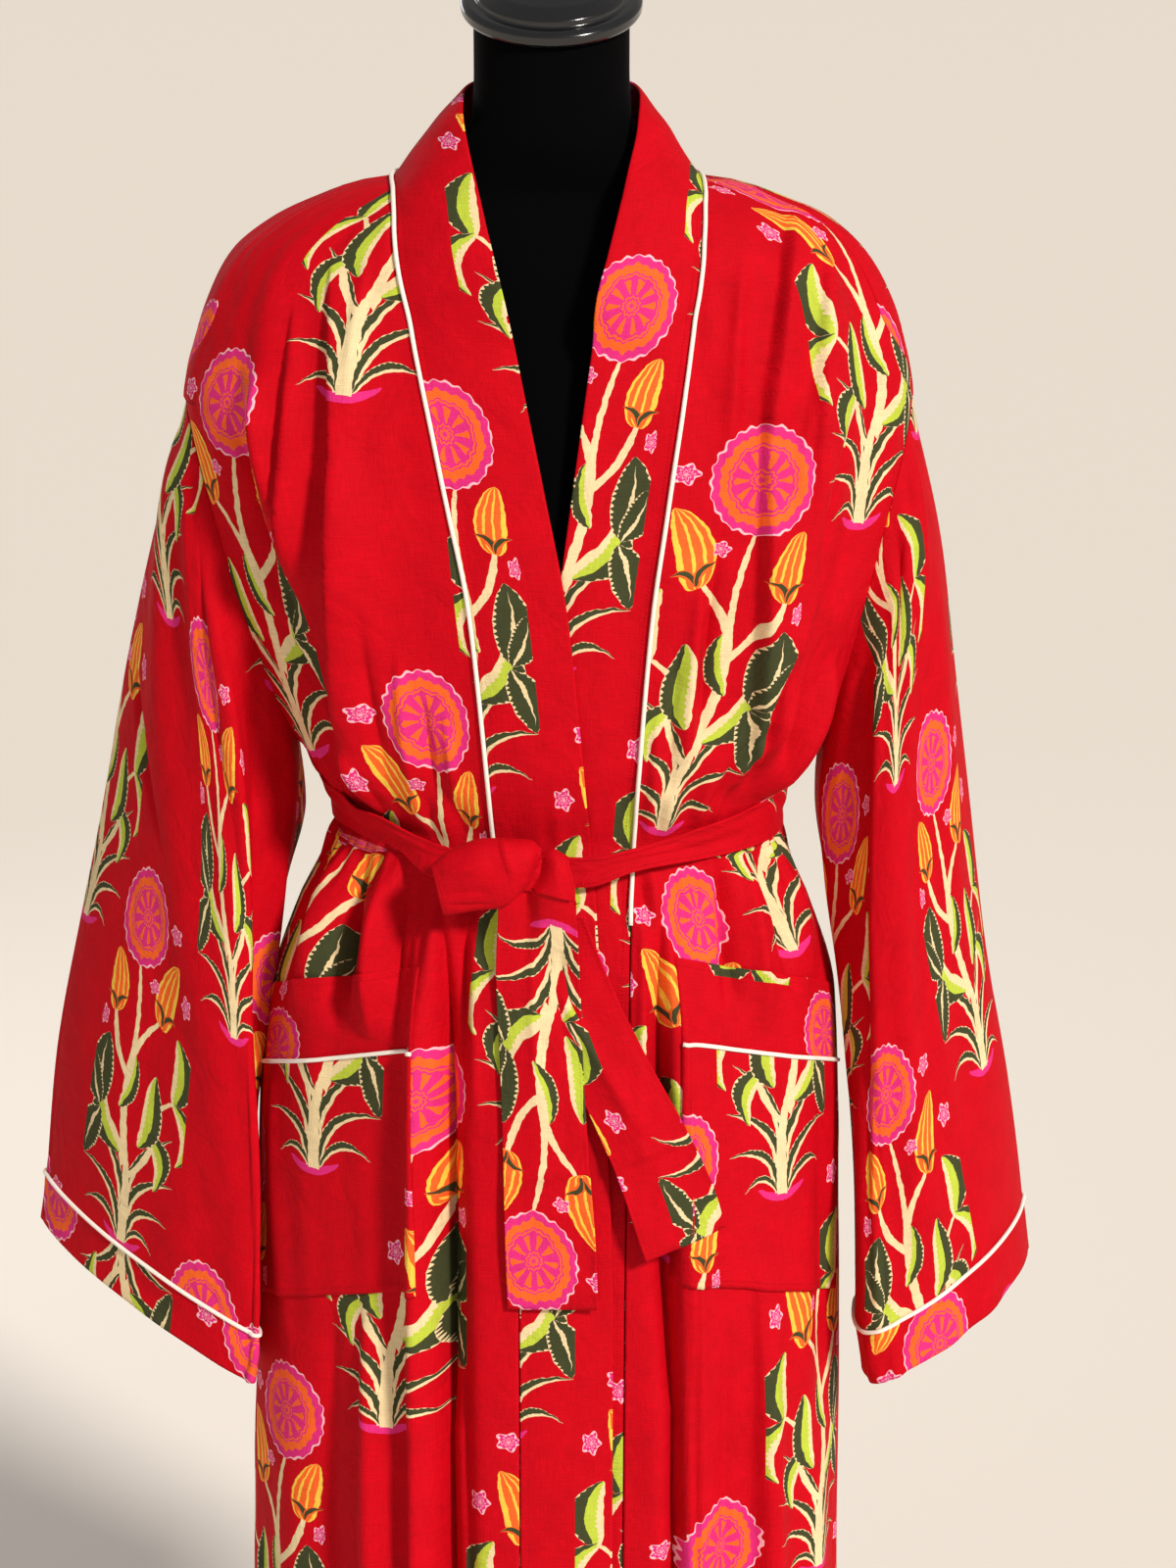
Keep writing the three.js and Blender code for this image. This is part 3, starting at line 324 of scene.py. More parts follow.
def sleeve_spot(side, at, angle):
    """Superellipse round a row's middle: angle 0 outer corner, 90 front bulge, 180 inner corner."""
    at, angle = np.broadcast_arrays(np.asarray(at, float), np.asarray(angle, float))
    keys = np.arange(SLEEVE_ROWS + 1, dtype=float)
    row = {name: curve(keys, values, at) for name, values in SLEEVES[side].items()}
    soft = ease(0, 2, at)

    def height(x):
        share = mix(0.5, (x - row["ox"]) / (row["ix"] - row["ox"]), soft)
        return mix(row["oz"], row["iz"], share)

    middle_x = (row["fx"] + row["bx"]) / 2
    middle = np.stack([middle_x, (row["oy"] + row["iy"]) / 2, height(middle_x)], -1)
    c, s = np.cos(np.radians(angle)), np.sin(np.radians(angle))
    power = 2 / mix(2, SLEEVE_ROUND[side], soft)
    pick = lambda test, a, b: np.where(test, row[a], row[b])
    corner = np.stack([pick(c > 0, "ox", "ix"), pick(c > 0, "oy", "iy"), pick(c > 0, "oz", "iz")], -1)
    x, y = pick(s > 0, "fx", "bx"), pick(s > 0, "fy", "by")
    bulge = np.stack([x, y, height(x)], -1)
    return (middle + (corner - middle) * (np.abs(c) ** power)[..., None]
            + (bulge - middle) * (np.abs(s) ** power)[..., None])


def sleeve_out(side, at, angle):
    """The way out of a sleeve, from its slopes round and down."""
    at = np.asarray(at, float)
    round_ = sleeve_spot(side, at, angle + 5) - sleeve_spot(side, at, angle - 5)
    down = (sleeve_spot(side, np.minimum(at + 0.2, SLEEVE_ROWS), angle)
            - sleeve_spot(side, np.maximum(at - 0.2, 0), angle))
    return unit(np.cross(down, round_) if side == "right" else np.cross(round_, down))


for side in SIDES:
    reach = sleeve_spot(side, SLEEVE_ROWS, 0.0) - sleeve_spot(side, 0, 0.0)
    print(f"sleeve_{side}: outer edge", round(float(np.linalg.norm(reach)), 3), "metres with its cuff")

# %% [markdown]
# ## Making a mesh from a grid
# All cloth here is a grid of points with two measures at each: where it lies on the flat cut cloth, which
# places the weave and the print at their real scale, and how far it is along and from the nearest sewn or
# folded edge, which places the stitches. Both become UV maps in metres. A Solidify modifier then gives
# the cloth its thickness, inwards, so that the outside stays where the frame has it.


# %% Grid to mesh
def lengths(spots, axis):
    """Distance travelled over a grid along rows (axis 1) or columns (axis 0), starting at 0."""
    step = np.linalg.norm(np.diff(spots, axis=axis), axis=-1)
    pad = [(0, 0), (0, 0)]
    pad[axis] = (1, 0)
    return np.pad(np.cumsum(step, axis=axis), pad)


def closed_lengths(spots):
    """Distances round and down a tube, whose first column comes again at the end."""
    closed = np.concatenate([spots, spots[:, :1]], 1)
    return lengths(closed, 1), lengths(closed, 0)


def grid_piece(name, spots, out, cut, seam, material, thick=0.0, closed=False, wrap_rows=False,
               fan_ends=False, lids=0, node=None):
    """A mesh of quads over spots[row, column], whose outside is on the side of `out`.

    `closed` joins the last column to the first, `wrap_rows` the last row to the first. `fan_ends` closes a
    tube's two ends to their middles; `lids` closes a strip's ends, which have that many points on a face.
    `cut` and `seam` hold a pair of metres per point, with one column (or row) more than spots where that
    way is joined. `node` is the frame's piece it stands for, where that has another name.
    """
    rows, cols = spots.shape[:2]
    # the diagonals' cross product is twice a cell's area long and points against the way its quad faces
    cells = np.cross(spots[1:, 1:] - spots[:-1, :-1], spots[1:, :-1] - spots[:-1, 1:])
    flip = np.sum(cells * out[:-1, :-1]) > 0
    i, j = np.meshgrid(np.arange(rows if wrap_rows else rows - 1), np.arange(cols if closed else cols - 1),
                       indexing="ij")
    i, j = i.ravel(), j.ravel()
    corners = [(i, j), (i, j + 1), (i + 1, j + 1), (i + 1, j)]
    if flip:
        corners.reverse()
    faces = np.stack([a % rows * cols + b % cols for a, b in corners], -1).tolist()
    measures = {"Cut": cut, "Seam": seam}
    uv = {label: np.stack([values[a, b] for a, b in corners], 1).reshape(-1, 2)
          for label, values in measures.items()}
    verts = spots.reshape(-1, 3)
    for end in ((0, rows - 1) if fan_ends or lids else ()):
        if fan_ends:
            k = np.arange(cols)
            quads = [k, (k + 1) % cols, np.full_like(k, len(verts))]
            verts = np.vstack([verts, spots[end].mean(0)])
        else:
            k, far = np.arange(lids - 1), lids + cols // 2 - 1
            quads = [k, k + 1, far - k - 1, far - k]
        if (end == 0) != flip:
            quads.reverse()
        quads = np.stack(quads, -1)
        faces += np.where(quads < cols, quads + end * cols, quads).tolist()
        flat = np.minimum(quads, cols - 1).ravel()
        uv = {label: np.vstack([uv[label], values[end][flat]]) for label, values in measures.items()}
    mesh = bpy.data.meshes.new(name)
    mesh.from_pydata(verts.tolist(), [], faces)
    for label, values in uv.items():
        mesh.uv_layers.new(name=label).data.foreach_set("uv", values.ravel())
    mesh.polygons.foreach_set("use_smooth", [True] * len(mesh.polygons))
    mesh.update()
    piece = bpy.data.objects.new(name + "_piece", mesh)
    bpy.context.scene.collection.objects.link(piece)
    mesh.materials.append(material)
    if thick:
        shell = piece.modifiers.new("Cloth thickness", "SOLIDIFY")
        shell.thickness, shell.offset, shell.use_even_offset = thick, -1, False
    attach(piece, "root")
    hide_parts(node or name)
    print(name, len(faces), "faces,", round(0.5 * np.linalg.norm(cells, axis=-1).sum(), 4), "square metres")


# %% [markdown]
# ## Materials
# The cloth is cotton voile, plain woven from fine uneven yarn, dyed red, and printed with flowering
# plants by blocks. Cotton is matte: roughness about 0.8, IOR 1.5, and its loose fibres break up most of
# the mirror light. The print is drawn with a few shapes of our own: a stroke (a blade, stem, leaf or bud
# between two points, bowed and tapered) and a rosette (a lobed round flower). One plant sits in each
# 104 mm wide column of cloth and repeats every 456 mm; every second column is about half a repeat lower.


# %% Helpers for materials
def srgb(code):
    """A hex colour as linear light, by the sRGB curve."""
    values = np.array([int(code[k:k + 2], 16) / 255 for k in (1, 3, 5)])
    linear = np.where(values <= 0.04045, values / 12.92, ((values + 0.055) / 1.055) ** 2.4)
    return (*linear.tolist(), 1.0)


def plug(socket, value):
    """Link a socket, or a node's first live output, or set a plain value; None leaves it alone."""
    if isinstance(value, bpy.types.Node):
        value = next(output for output in value.outputs if output.enabled)
    if isinstance(value, bpy.types.NodeSocket):
        socket.id_data.links.new(value, socket)
    elif value is not None:
        socket.default_value = value


def add(tree, kind, *inputs, **settings):
    """Add one node, its operation named after its kind. `inputs` go to its live sockets in order; a setting
    names a property, or a socket when it starts with a capital."""
    kind, *operation = kind.split()
    node = tree.nodes.new("ShaderNode" + kind)
    if operation:
        node.operation = operation[0]
    by_name = {name: settings.pop(name) for name in list(settings) if name[0].isupper()}
    for name, value in settings.items():
        setattr(node, name, value)
    for socket, value in zip([s for s in node.inputs if s.enabled], inputs):
        plug(socket, value)
    for name, value in by_name.items():
        plug(node.inputs[name], value)
    return node


def new_group(name, inputs, outputs):
    """A node group, its sockets listed by kind; gives its tree, what comes in and what goes out."""
    tree = bpy.data.node_groups.new(name, "ShaderNodeTree")
    for way, kinds in (("INPUT", inputs), ("OUTPUT", outputs)):
        for kind, labels in kinds.items():
            for label in labels.split(", "):
                tree.interface.new_socket(label, in_out=way, socket_type="NodeSocket" + kind)
    # a group's input node has one spare socket after its own
    return tree, tree.nodes.new("NodeGroupInput").outputs[:-1], tree.nodes.new("NodeGroupOutput").inputs


def new_material(name, **sockets):
    """A material; constants for its shader's sockets are given by name."""
    made = bpy.data.materials.new(name)
    made.use_nodes = True
    for label, value in sockets.items():
        made.node_tree.nodes["Principled BSDF"].inputs[label.replace("_", " ")].default_value = value
    return made


def set_stops(ramp, stops, interpolation="CONSTANT"):
    """Give a colour ramp its stops, (place 0 to 1, hex colour); CONSTANT makes flat bands."""
    ramp.color_ramp.interpolation = interpolation
    elements = ramp.color_ramp.elements
    while len(elements) > 1:
        elements.remove(elements[-1])
    elements[0].position, elements[0].color = stops[0][0], srgb(stops[0][1])
    for position, colour in stops[1:]:
        elements.new(position).color = srgb(colour)
    return ramp


# %% The stroke: a bowed, tapered shape between two points
stroke_tree, starts, ends = new_group(
    "Print stroke", {"Vector": "Place, Foot, Along, Across",
                     "Float": "Bow, Twist, Width, Foot taper, Tip taper"}, {"Float": "Inside, Side, Share"})
spot_in, foot, along, across, bow, twist, half_width, foot_taper, tip_taper = starts
t = stroke_tree
local = add(t, "VectorMath SUBTRACT", spot_in, foot)
share = add(t, "VectorMath DOT_PRODUCT", local, along)
side = add(t, "VectorMath DOT_PRODUCT", local, across)
rest = add(t, "Math SUBTRACT", 1.0, share)
hump = add(t, "Math MULTIPLY", share, rest)
bend = add(t, "Math MULTIPLY_ADD", share, twist, bow)
off = add(t, "Math SUBTRACT", side, add(t, "Math MULTIPLY", hump, bend))
taper = add(t, "Math MULTIPLY", add(t, "Math POWER", share, foot_taper),
            add(t, "Math POWER", rest, tip_taper))
width = add(t, "Math MULTIPLY", taper, half_width)
plug(ends[0], add(t, "Math GREATER_THAN", width, add(t, "Math ABSOLUTE", off)))
plug(ends[1], add(t, "Math DIVIDE", off, width))
plug(ends[2], share)

# %% The rosette: a round shape with lobes
rosette_tree, starts, ends = new_group(
    "Print rosette", {"Vector": "Place, Middle, Shrink", "Float": "Lobes, Depth"},
    {"Float": "Inside, Out, Turn"})
spot_in, middle, shrink, lobes, depth = starts
t = rosette_tree
local = add(t, "VectorMath SUBTRACT", spot_in, middle)
local = add(t, "VectorMath MULTIPLY", local, shrink)
parts = add(t, "SeparateXYZ", local)
turn = add(t, "Math ARCTAN2", parts.outputs[1], parts.outputs[0])
lobe = add(t, "Math COSINE", add(t, "Math MULTIPLY", turn, lobes))
edge = add(t, "Math MULTIPLY_ADD", lobe, depth, 1.0)
out = add(t, "Math DIVIDE", add(t, "VectorMath LENGTH", local), edge)
plug(ends[0], add(t, "Math LESS_THAN", out, 1.0))
plug(ends[1], out)
plug(ends[2], turn)
print("stroke nodes:", len(stroke_tree.nodes), "rosette nodes:", len(rosette_tree.nodes))

# %% [markdown]
# ## The plant
# Each row of a table is one stroke: foot and tip in millimetres on the cloth, bow and twist sideways,
# half width. Blades are olive outside and cream inside, stems are cream, leaves are olive and lime about
# a cream rib, buds are striped orange and yellow.

# %% The plant's strokes
STEMS = [   # x, y, x, y, bow, twist, half width
    (0, -2, 5, 69, 3, 0, 4.2), (4, 60, 13, 141, -4, 0, 3.6), (13, 125, 22, 206, 4, 0, 2.4),
    (13, 130, -12, 175, -5, 0, 2.7), (14, 121, 38, 166, -5, 0, 2.8), (3, 47, -22, 116, 9, 0, 2.5),
    (-10, 85, -38, 125, -6, 0, 2.3), (6, 56, 36, 87, 6, 0, 2.5)]
BLADES = [
    (3, 0, 47, 78, 19, 0, 4.2), (4, 0, 51, 42, 17, 0, 3.9), (4, 0, 44, 10, 13, 0, 3.3),
    (-3, 0, -40, 98, -18, 0, 3.9), (-4, 0, -46, 64, -18, 0, 3.9), (-5, 0, -44, 32, -15, 0, 3.6),
    (-4, 0, -31, 4, -10, 0, 2.9)]
LEAVES = [
    (-37, 122, -33, 172, 10, 0, 13.0), (-9, 92, -27, 52, -15, 0, 9.6), (-36, 125, -46, 80, -17, 0, 11.0),
    (-7, 76, -14, 134, 6, 18, 10.4), (10, 63, 38, 106, -12, 0, 11.8), (17, 96, 8, 139, 5, 0, 6.2)]
OVATES = [(36, 90, 40, 142, -4, 0, 13.4), (38, 87, 52, 121, -3, 0, 9.8), (37, 85, 50, 43, 3, 0, 12.2)]
BUDS = [(-12, 170, -27, 224, -5, 0, 12.5), (38, 161, 47, 206, 3, 0, 10.4)]
SEPALS = [(-12, 172, -28, 179, -5, 0, 3.3), (-12, 172, 0, 188, 4, 0, 3.1), (38, 162, 27, 175, -4, 0, 2.9),
          (38, 162, 51, 171, 4, 0, 2.9)]
GROUND = [(-20, 4, 19, 4, -7, 0, 3.4)]
MEDALLION = (22, 240, 30, 36)          # middle and half sizes
CLUSTERS = [(-22, 246, 8, 6.5), (-41, 200, 6, 8), (2, 196, 5.5, 5), (49, 152, 4, 6.5)]
COLUMN, REPEAT, DROP, BASE_LINE = 104.0, 456.0, 0.55, 40.0

RED, OLIVE, LIME, CREAM = "#BC0014", "#3D4128", "#B4C440", "#E2CCA0"
PINK, ORANGE, YELLOW, BLUSH = "#D42C78", "#EC6228", "#E8C048", "#EEB4C0"
# in the order they are printed: strokes, tapers at foot and tip, and bands of colour from side to side
KINDS = {
    "ground": (GROUND, 0.5, 0.5, [(0.0, PINK)]),
    "blades": (BLADES, 0.45, 0.75, [(0.0, CREAM), (0.34, OLIVE), (0.93, CREAM)]),
    "stems": (STEMS, 0.02, 0.22, [(0.0, CREAM)]),
    "leaves": (LEAVES, 0.6, 0.75, [(0.0, CREAM), (0.20, LIME), (0.52, OLIVE), (0.94, CREAM)]),
    "ovates": (OVATES, 0.75, 0.8, [(0.0, CREAM), (0.05, OLIVE), (0.94, CREAM)]),
    "buds": (BUDS, 0.4, 0.6, [(0.0, YELLOW), (0.16, ORANGE), (0.38, YELLOW), (0.46, ORANGE), (0.66, YELLOW),
                              (0.74, ORANGE), (0.90, YELLOW)]),
    "sepals": (SEPALS, 0.5, 0.8, [(0.0, ORANGE), (0.25, OLIVE), (0.8, ORANGE)])}
# lobes and their depth, the rays' phase and how much they shake the rings, and rings of colour outwards
FLOWERS = {
    "cluster": (5.0, 0.18, "SINE", 0.12, [
        (0.0, BLUSH), (0.16, PINK), (0.42, BLUSH), (0.5, PINK), (0.82, BLUSH)]),
    "medallion": (24.0, 0.022, "COSINE", 0.018, [
        (0.0, PINK), (0.05, ORANGE), (0.10, PINK), (0.15, ORANGE), (0.18, PINK), (0.58, ORANGE), (0.62, PINK),
        (0.65, ORANGE), (0.82, PINK), (0.965, BLUSH)])}


def draw_strokes(tree, spot_in, rows, foot_taper, tip_taper):
    """All strokes of one kind: the mask, and the last stroke's side (-1 to 1 across) and share along."""
    whole = foot_taper + tip_taper
    peak = (foot_taper / whole) ** foot_taper * (tip_taper / whole) ** tip_taper
    mask = None
    for x0, y0, x1, y1, bow, twist, half in rows:
        hand = -1 if bow < 0 else 1         # the bulging side always counts as the plus side
        foot, tip = np.array([x0, y0, 0.0]), np.array([x1, y1, 0.0])
        length = np.linalg.norm(tip - foot)
        along = (tip - foot) / length
        across = np.array([-along[1], along[0], 0]) * hand
        stroke = add(tree, "Group", spot_in, foot.tolist(), (along / length).tolist(), across.tolist(),
                     hand * (4 * bow + twist), -2 * hand * twist, half / peak, foot_taper, tip_taper,
                     node_tree=stroke_tree)
        inside, side, share = stroke.outputs
        if mask is None:
            mask, last_side, last_share = inside, side, share
            continue
        last_side = add(tree, "Mix", inside, last_side, side)
        last_share = add(tree, "Mix", inside, last_share, share)
        mask = add(tree, "Math MAXIMUM", mask, inside)
    return mask, last_side, last_share


print("strokes in a plant:", sum(len(rows) for rows, *_ in KINDS.values()))

# %% The print as one group: cloth place in, colour out
print_tree, starts, ends = new_group("Flower print", {"Vector": "Cut"}, {"Color": "Colour"})
t = print_tree
cut_parts = add(t, "SeparateXYZ", starts[0])
col_at = add(t, "Math MULTIPLY", cut_parts.outputs[0], 1000 / COLUMN)
col = add(t, "Math FLOOR", col_at)
odd = add(t, "Math GREATER_THAN", add(t, "Math FLOORED_MODULO", col, 2.0), 0.5)
x_in = add(t, "Math MULTIPLY_ADD", add(t, "Math SUBTRACT", col_at, col), COLUMN, -COLUMN / 2)
row_at = add(t, "Math MULTIPLY", cut_parts.outputs[1], 1000 / REPEAT)
row_at = add(t, "Math MULTIPLY_ADD", odd, DROP, row_at)
y_in = add(t, "Math MULTIPLY_ADD", add(t, "Math FRACT", row_at), REPEAT, -BASE_LINE)
flat = add(t, "CombineXYZ", x_in, y_in, 0.0)
# a carved block never prints a perfectly smooth line: shake the place by about half a millimetre
shake = add(t, "TexNoise", flat, noise_dimensions="2D", Scale=0.14, Detail=1.0)
shaken = add(t, "VectorMath SUBTRACT", shake.outputs["Color"], (0.5, 0.5, 0.5))
plant_place = add(t, "VectorMath MULTIPLY_ADD", shaken, (2.0, 2.0, 0.0), flat)

colour = srgb(RED)
for kind, (rows, *tapers, stops) in KINDS.items():
    mask, side, share = draw_strokes(t, plant_place, rows, *tapers)
    if kind in ("blades", "leaves", "ovates"):
        # the outline comes and goes along the leaf, like carved dots: side (1 + 0.1 sin(84 share))
        wave = add(t, "Math SINE", add(t, "Math MULTIPLY", share, 84.0))
        wave = add(t, "Math MULTIPLY_ADD", wave, 0.10, 1.0)
        side = add(t, "Math MULTIPLY", side, wave)
    band = add(t, "Math MULTIPLY_ADD", side, 0.5, 0.5)
    if kind == "ovates":      # the cream rib is widest at the leaf's foot: side = 0.2 - 0.22 share
        rib_edge = add(t, "Math MULTIPLY_ADD", share, -0.22, 0.2)
        rib = add(t, "Math GREATER_THAN", rib_edge, add(t, "Math ABSOLUTE", side))
        band = add(t, "Math MAXIMUM", band, rib)
    colour = add(t, "Mix", mask, colour, set_stops(add(t, "ValToRGB", band), stops), data_type="RGBA")

for flower, (x, y, half_x, half_y) in [*(("cluster", row) for row in CLUSTERS), ("medallion", MEDALLION)]:
    lobes, depth, phase, wobble, stops = FLOWERS[flower]
    inside, out, turn = add(t, "Group", plant_place, (x, y, 0), (1 / half_x, 1 / half_y, 0), lobes, depth,
                            node_tree=rosette_tree).outputs
    rays = add(t, "Math " + phase, add(t, "Math MULTIPLY", turn, 10.0))
    paint = set_stops(add(t, "ValToRGB", add(t, "Math MULTIPLY_ADD", rays, wobble, out)), stops)
    if flower == "medallion":
        # orange wedges that widen outwards: seen where cos(10 turn) is above 1.25 - 2.3 out
        edge = add(t, "Math MULTIPLY_ADD", out, -2.3, 1.25)
        wedge = add(t, "Math GREATER_THAN", rays, edge)
        for bound, test in ((0.22, "GREATER_THAN"), (0.52, "LESS_THAN")):
            wedge = add(t, "Math MULTIPLY", wedge, add(t, "Math " + test, out, bound))
        paint = add(t, "Mix", wedge, paint, srgb(ORANGE), data_type="RGBA")
    colour = add(t, "Mix", inside, colour, paint, data_type="RGBA")
plug(ends[0], colour)
print("print nodes:", len(print_tree.nodes))

# %% [markdown]
# ## The cotton
# Real yarn here is about 0.25 mm thick, too fine to show, so the weave is drawn at 0.8 mm. Thick and
# thin places in the yarn (slubs) run 10 to 20 mm along warp and weft and tint the dye by up to a tenth.
# Topstitches are 2.5 mm long and lie a few millimetres inside a folded edge; the cloth puckers at them.

# %% Cotton with stitches
STITCH = 2.5 * MM
YARNS = (1300.0, 70.0, 1.0), (70.0, 1300.0, 1.0)     # noise cells to a metre, for warp and weft
THREAD, PUCKER = 0.7 * MM, 9 * MM                    # how far a stitch and its pucker reach


def cotton(name, stitch_at=None):
    """Plain woven cotton; `stitch_at` is how far (m) a row of stitches lies from the edge."""
    made = new_material(name, Roughness=0.78, IOR=1.5, Specular_IOR_Level=0.10)
    t = made.node_tree
    shader = t.nodes["Principled BSDF"]
    cut = add(t, "UVMap", uv_map="Cut")
    colour = add(t, "Group", cut, node_tree=print_tree)
    slub = add(t, "Math ADD", *[add(t, "TexNoise", add(t, "VectorMath MULTIPLY", cut, stretch),
                                noise_dimensions="2D", Scale=1.0, Detail=2.0) for stretch in YARNS])
    patch = add(t, "TexNoise", cut, noise_dimensions="2D", Scale=38.0, Detail=3.0)
    tone = add(t, "Math MULTIPLY_ADD", patch, 0.26, add(t, "Math MULTIPLY_ADD", slub, 0.34, 0.60))
    plug(shader.inputs["Base Color"], add(t, "VectorMath SCALE", colour, tone))
    # bump: yarn relief and the fine crinkles of washed voile, then the pucker and holes of the stitches
    crinkle = add(t, "TexNoise", cut, noise_dimensions="2D", Scale=30.0, Detail=4.0, Roughness=0.55,
                  Distortion=0.8)
    relief = add(t, "Math MULTIPLY_ADD", crinkle, 9.0, slub)
    if stitch_at:
        along, off, _ = add(t, "SeparateXYZ", add(t, "UVMap", uv_map="Seam")).outputs
        dash = add(t, "Math SINE", add(t, "Math MULTIPLY", along, 2 * math.pi / STITCH))
        stretched = add(t, "CombineXYZ", add(t, "Math MULTIPLY", along, 140.0),
                        add(t, "Math MULTIPLY", off, 30.0), 0.0)
        pucker = add(t, "TexNoise", stretched, noise_dimensions="2D", Scale=1.0)
        gap = add(t, "Math ABSOLUTE", add(t, "Math SUBTRACT", off, stitch_at))
        line, near = [add(t, "Math MULTIPLY_ADD", gap, -1 / reach, 1.0, use_clamp=True)
                      for reach in (THREAD, PUCKER)]
        holes = add(t, "Math MULTIPLY", line, add(t, "Math MULTIPLY_ADD", dash, -1.6, 0.2))
        relief = add(t, "Math ADD", holes, relief)
        relief = add(t, "Math MULTIPLY_ADD", add(t, "Math MULTIPLY", near, pucker), 3.0, relief)
    plug(shader.inputs["Normal"], add(t, "Bump", Strength=0.75, Distance=0.25 * MM, Height=relief))
    return made


panel_cotton = cotton("Printed cotton voile")
hemmed_cotton = cotton("Printed cotton voile, topstitched", 5.5 * MM)
belt_cotton = cotton("Printed cotton voile, belt", 3 * MM)
# the form: deep black pile that hardly shines, a polished moulded cap, brushed steel; the cords are plain
velvet = new_material("Black cotton velvet", Base_Color=srgb("#040405"), Roughness=1.0, Sheen_Weight=0.04,
                      Sheen_Roughness=0.3, Specular_IOR_Level=0.05)
gloss = new_material("Glossy black plastic", Base_Color=srgb("#121316"), Roughness=0.16, IOR=1.5,
                     Coat_Weight=0.4, Coat_Roughness=0.05)
metal = new_material("Dark satin steel", Base_Color=srgb("#2A2B2E"), Roughness=0.38, Metallic=0.8)
piping_cotton = new_material("White cotton piping", Base_Color=srgb("#F4EFE6"), Roughness=0.8,
                             Sheen_Weight=0.2)
print("materials:", [made.name for made in bpy.data.materials])

# %% [markdown]
# ## Where the cloth was cut from
# The print follows the flat cloth. Across, a place on the body is measured round a ring with fixed
# reaches, so the cloth taken in at the waist still carries its whole width of print. Up, it is measured
# along the cloth from the hem, over the shoulder.

# %% Flat-cloth measures
FIXED_RING = (0.205, 0.135)
ring_turns = np.radians(np.linspace(-400, 400, 3201))
ring_pace = np.hypot(FIXED_RING[0] * np.sin(ring_turns), FIXED_RING[1] * np.cos(ring_turns))
ring_run = np.cumsum(ring_pace) * (ring_turns[1] - ring_turns[0])
ring_run -= np.interp(np.radians(90), ring_turns, ring_run)
meridian_z = np.linspace(HEM, NECK_SEAM, 605)
meridian_run = HEM + lengths(ring_spot(60.0, meridian_z)[:, None], 0)[:, 0]


def cut_place(turn, z, offset):
    """Metres across and up the flat cloth, moved by where the piece was cut."""
    across = np.interp(np.radians(turn), ring_turns, ring_run)
    # some length is bloused out of sight above the belt, so the print jumps behind it
    up = np.interp(z, meridian_z, meridian_run) - offset[2] * ease(1014 * MM, 1000 * MM, z)
    return np.stack([across + offset[0], up + offset[1]], -1)


# Where each piece lay on the printed cloth, in metres, and how much length is bloused at the belt.
CUTS = {
    "front_right": (-0.045, 0.080, 0.19), "front_left": (-0.045, -0.080, 0.15), "back": (0.0, 0.05, 0.06),
    "band_right": (-0.038, -0.120), "band_left": (-0.090, 0.050),
    "sleeve_right": (-0.070, 0.035), "sleeve_left": (0.078, 0.115),
    "cuff_right": (0.067, -0.176), "cuff_left": (-0.059, -0.003),
    "pocket_right": (0.013, 0.168, 0.0), "pocket_left": (-0.012, -0.064, 0.0),
    "pocket_band_right": (0.025, 0.247), "pocket_band_left": (0.112, 0.252),
    "belt": (0.082, -0.330)}
print("cloth from hem to shoulder:", round(float(meridian_run[-1]) - HEM, 3), "metres")

# %% [markdown]
# ## The panels
# Two fronts and a back are each one grid of places. Their columns run from the side to the band, their
# rows dip a little towards the sides, as wrapped cloth hangs. Near the armhole the grid is pulled to the
# sleeve's own edge. Small creases fade out at the seams, so that the pieces still meet.

# %% Grids of the panels
ARM_MID, ARM_HALF = (ARMHOLE_TOP + ARMHOLE_FOOT) / 2, (ARMHOLE_TOP - ARMHOLE_FOOT) / 2
SIDE_DIP = 64 * MM
SEAM_LINE = columns("z right left", [
    (1448, -104.4, 97.4), (1440, -103.5, 100.5), (1400, -100, 99), (1361, -91, 93), (1298, -78, 84),
    (1240, -66, 76), (1181, -54, 68), (1129, -48, 63), (1020, -38.5, 56), (966, -34, 53), (850, -28, 52),
    (695, -23, 50), (240, -24, 48)])
POCKET = {"mouth": 950 * MM, "piping": 893 * MM, "foot": 722 * MM, "outer": 0.1, "slant": 0.07,
          "inner": {"right": 0.78, "left": 0.87}}
WALL = 1.6 * MM
SINGLE = 1.0 * MM      # a single cloth; the frame's pieces are WALL thick


def seam_x(side, z):
    """Where a front meets its band, as x at height z."""
    return read(SEAM_LINE, side, z)


def row_height(level, share):
    """A row's height: below the belt it dips towards the sides, least at the hem."""
    window = ease(1000 * MM, 950 * MM, level) * ease(HEM, 560 * MM, level)
    return level - SIDE_DIP * (1 - share) * window


def armhole_spot(side, z, way):
    """The sleeve's own edge at height z, on the front (way 1) or the back (way -1)."""
    share = np.clip((z - ARM_MID) / ARM_HALF, -1, 1)
    return sleeve_spot(side, 0.0, way * np.degrees(np.arccos(share)))


def edge_turn(side, z, way):
    """The turn of a panel's outer edge: shoulder seam, armhole, side seam."""
    share = np.clip((z - ARM_MID) / ARM_HALF, -1, 1)
    forward = 18 * ease(1300 * MM, 1360 * MM, z) * ease(1448 * MM, 1436 * MM, z)
    off = 0.1 + 14 * np.sqrt(1 - share ** 2) + way * forward
    return way * off if side == "right" else 180 - way * off


def underlap(x, z):
    """The left front lies behind the right one."""
    return -5 * MM * ease(85 * MM, 50 * MM, x) * ease(1330 * MM, 1240 * MM, z)


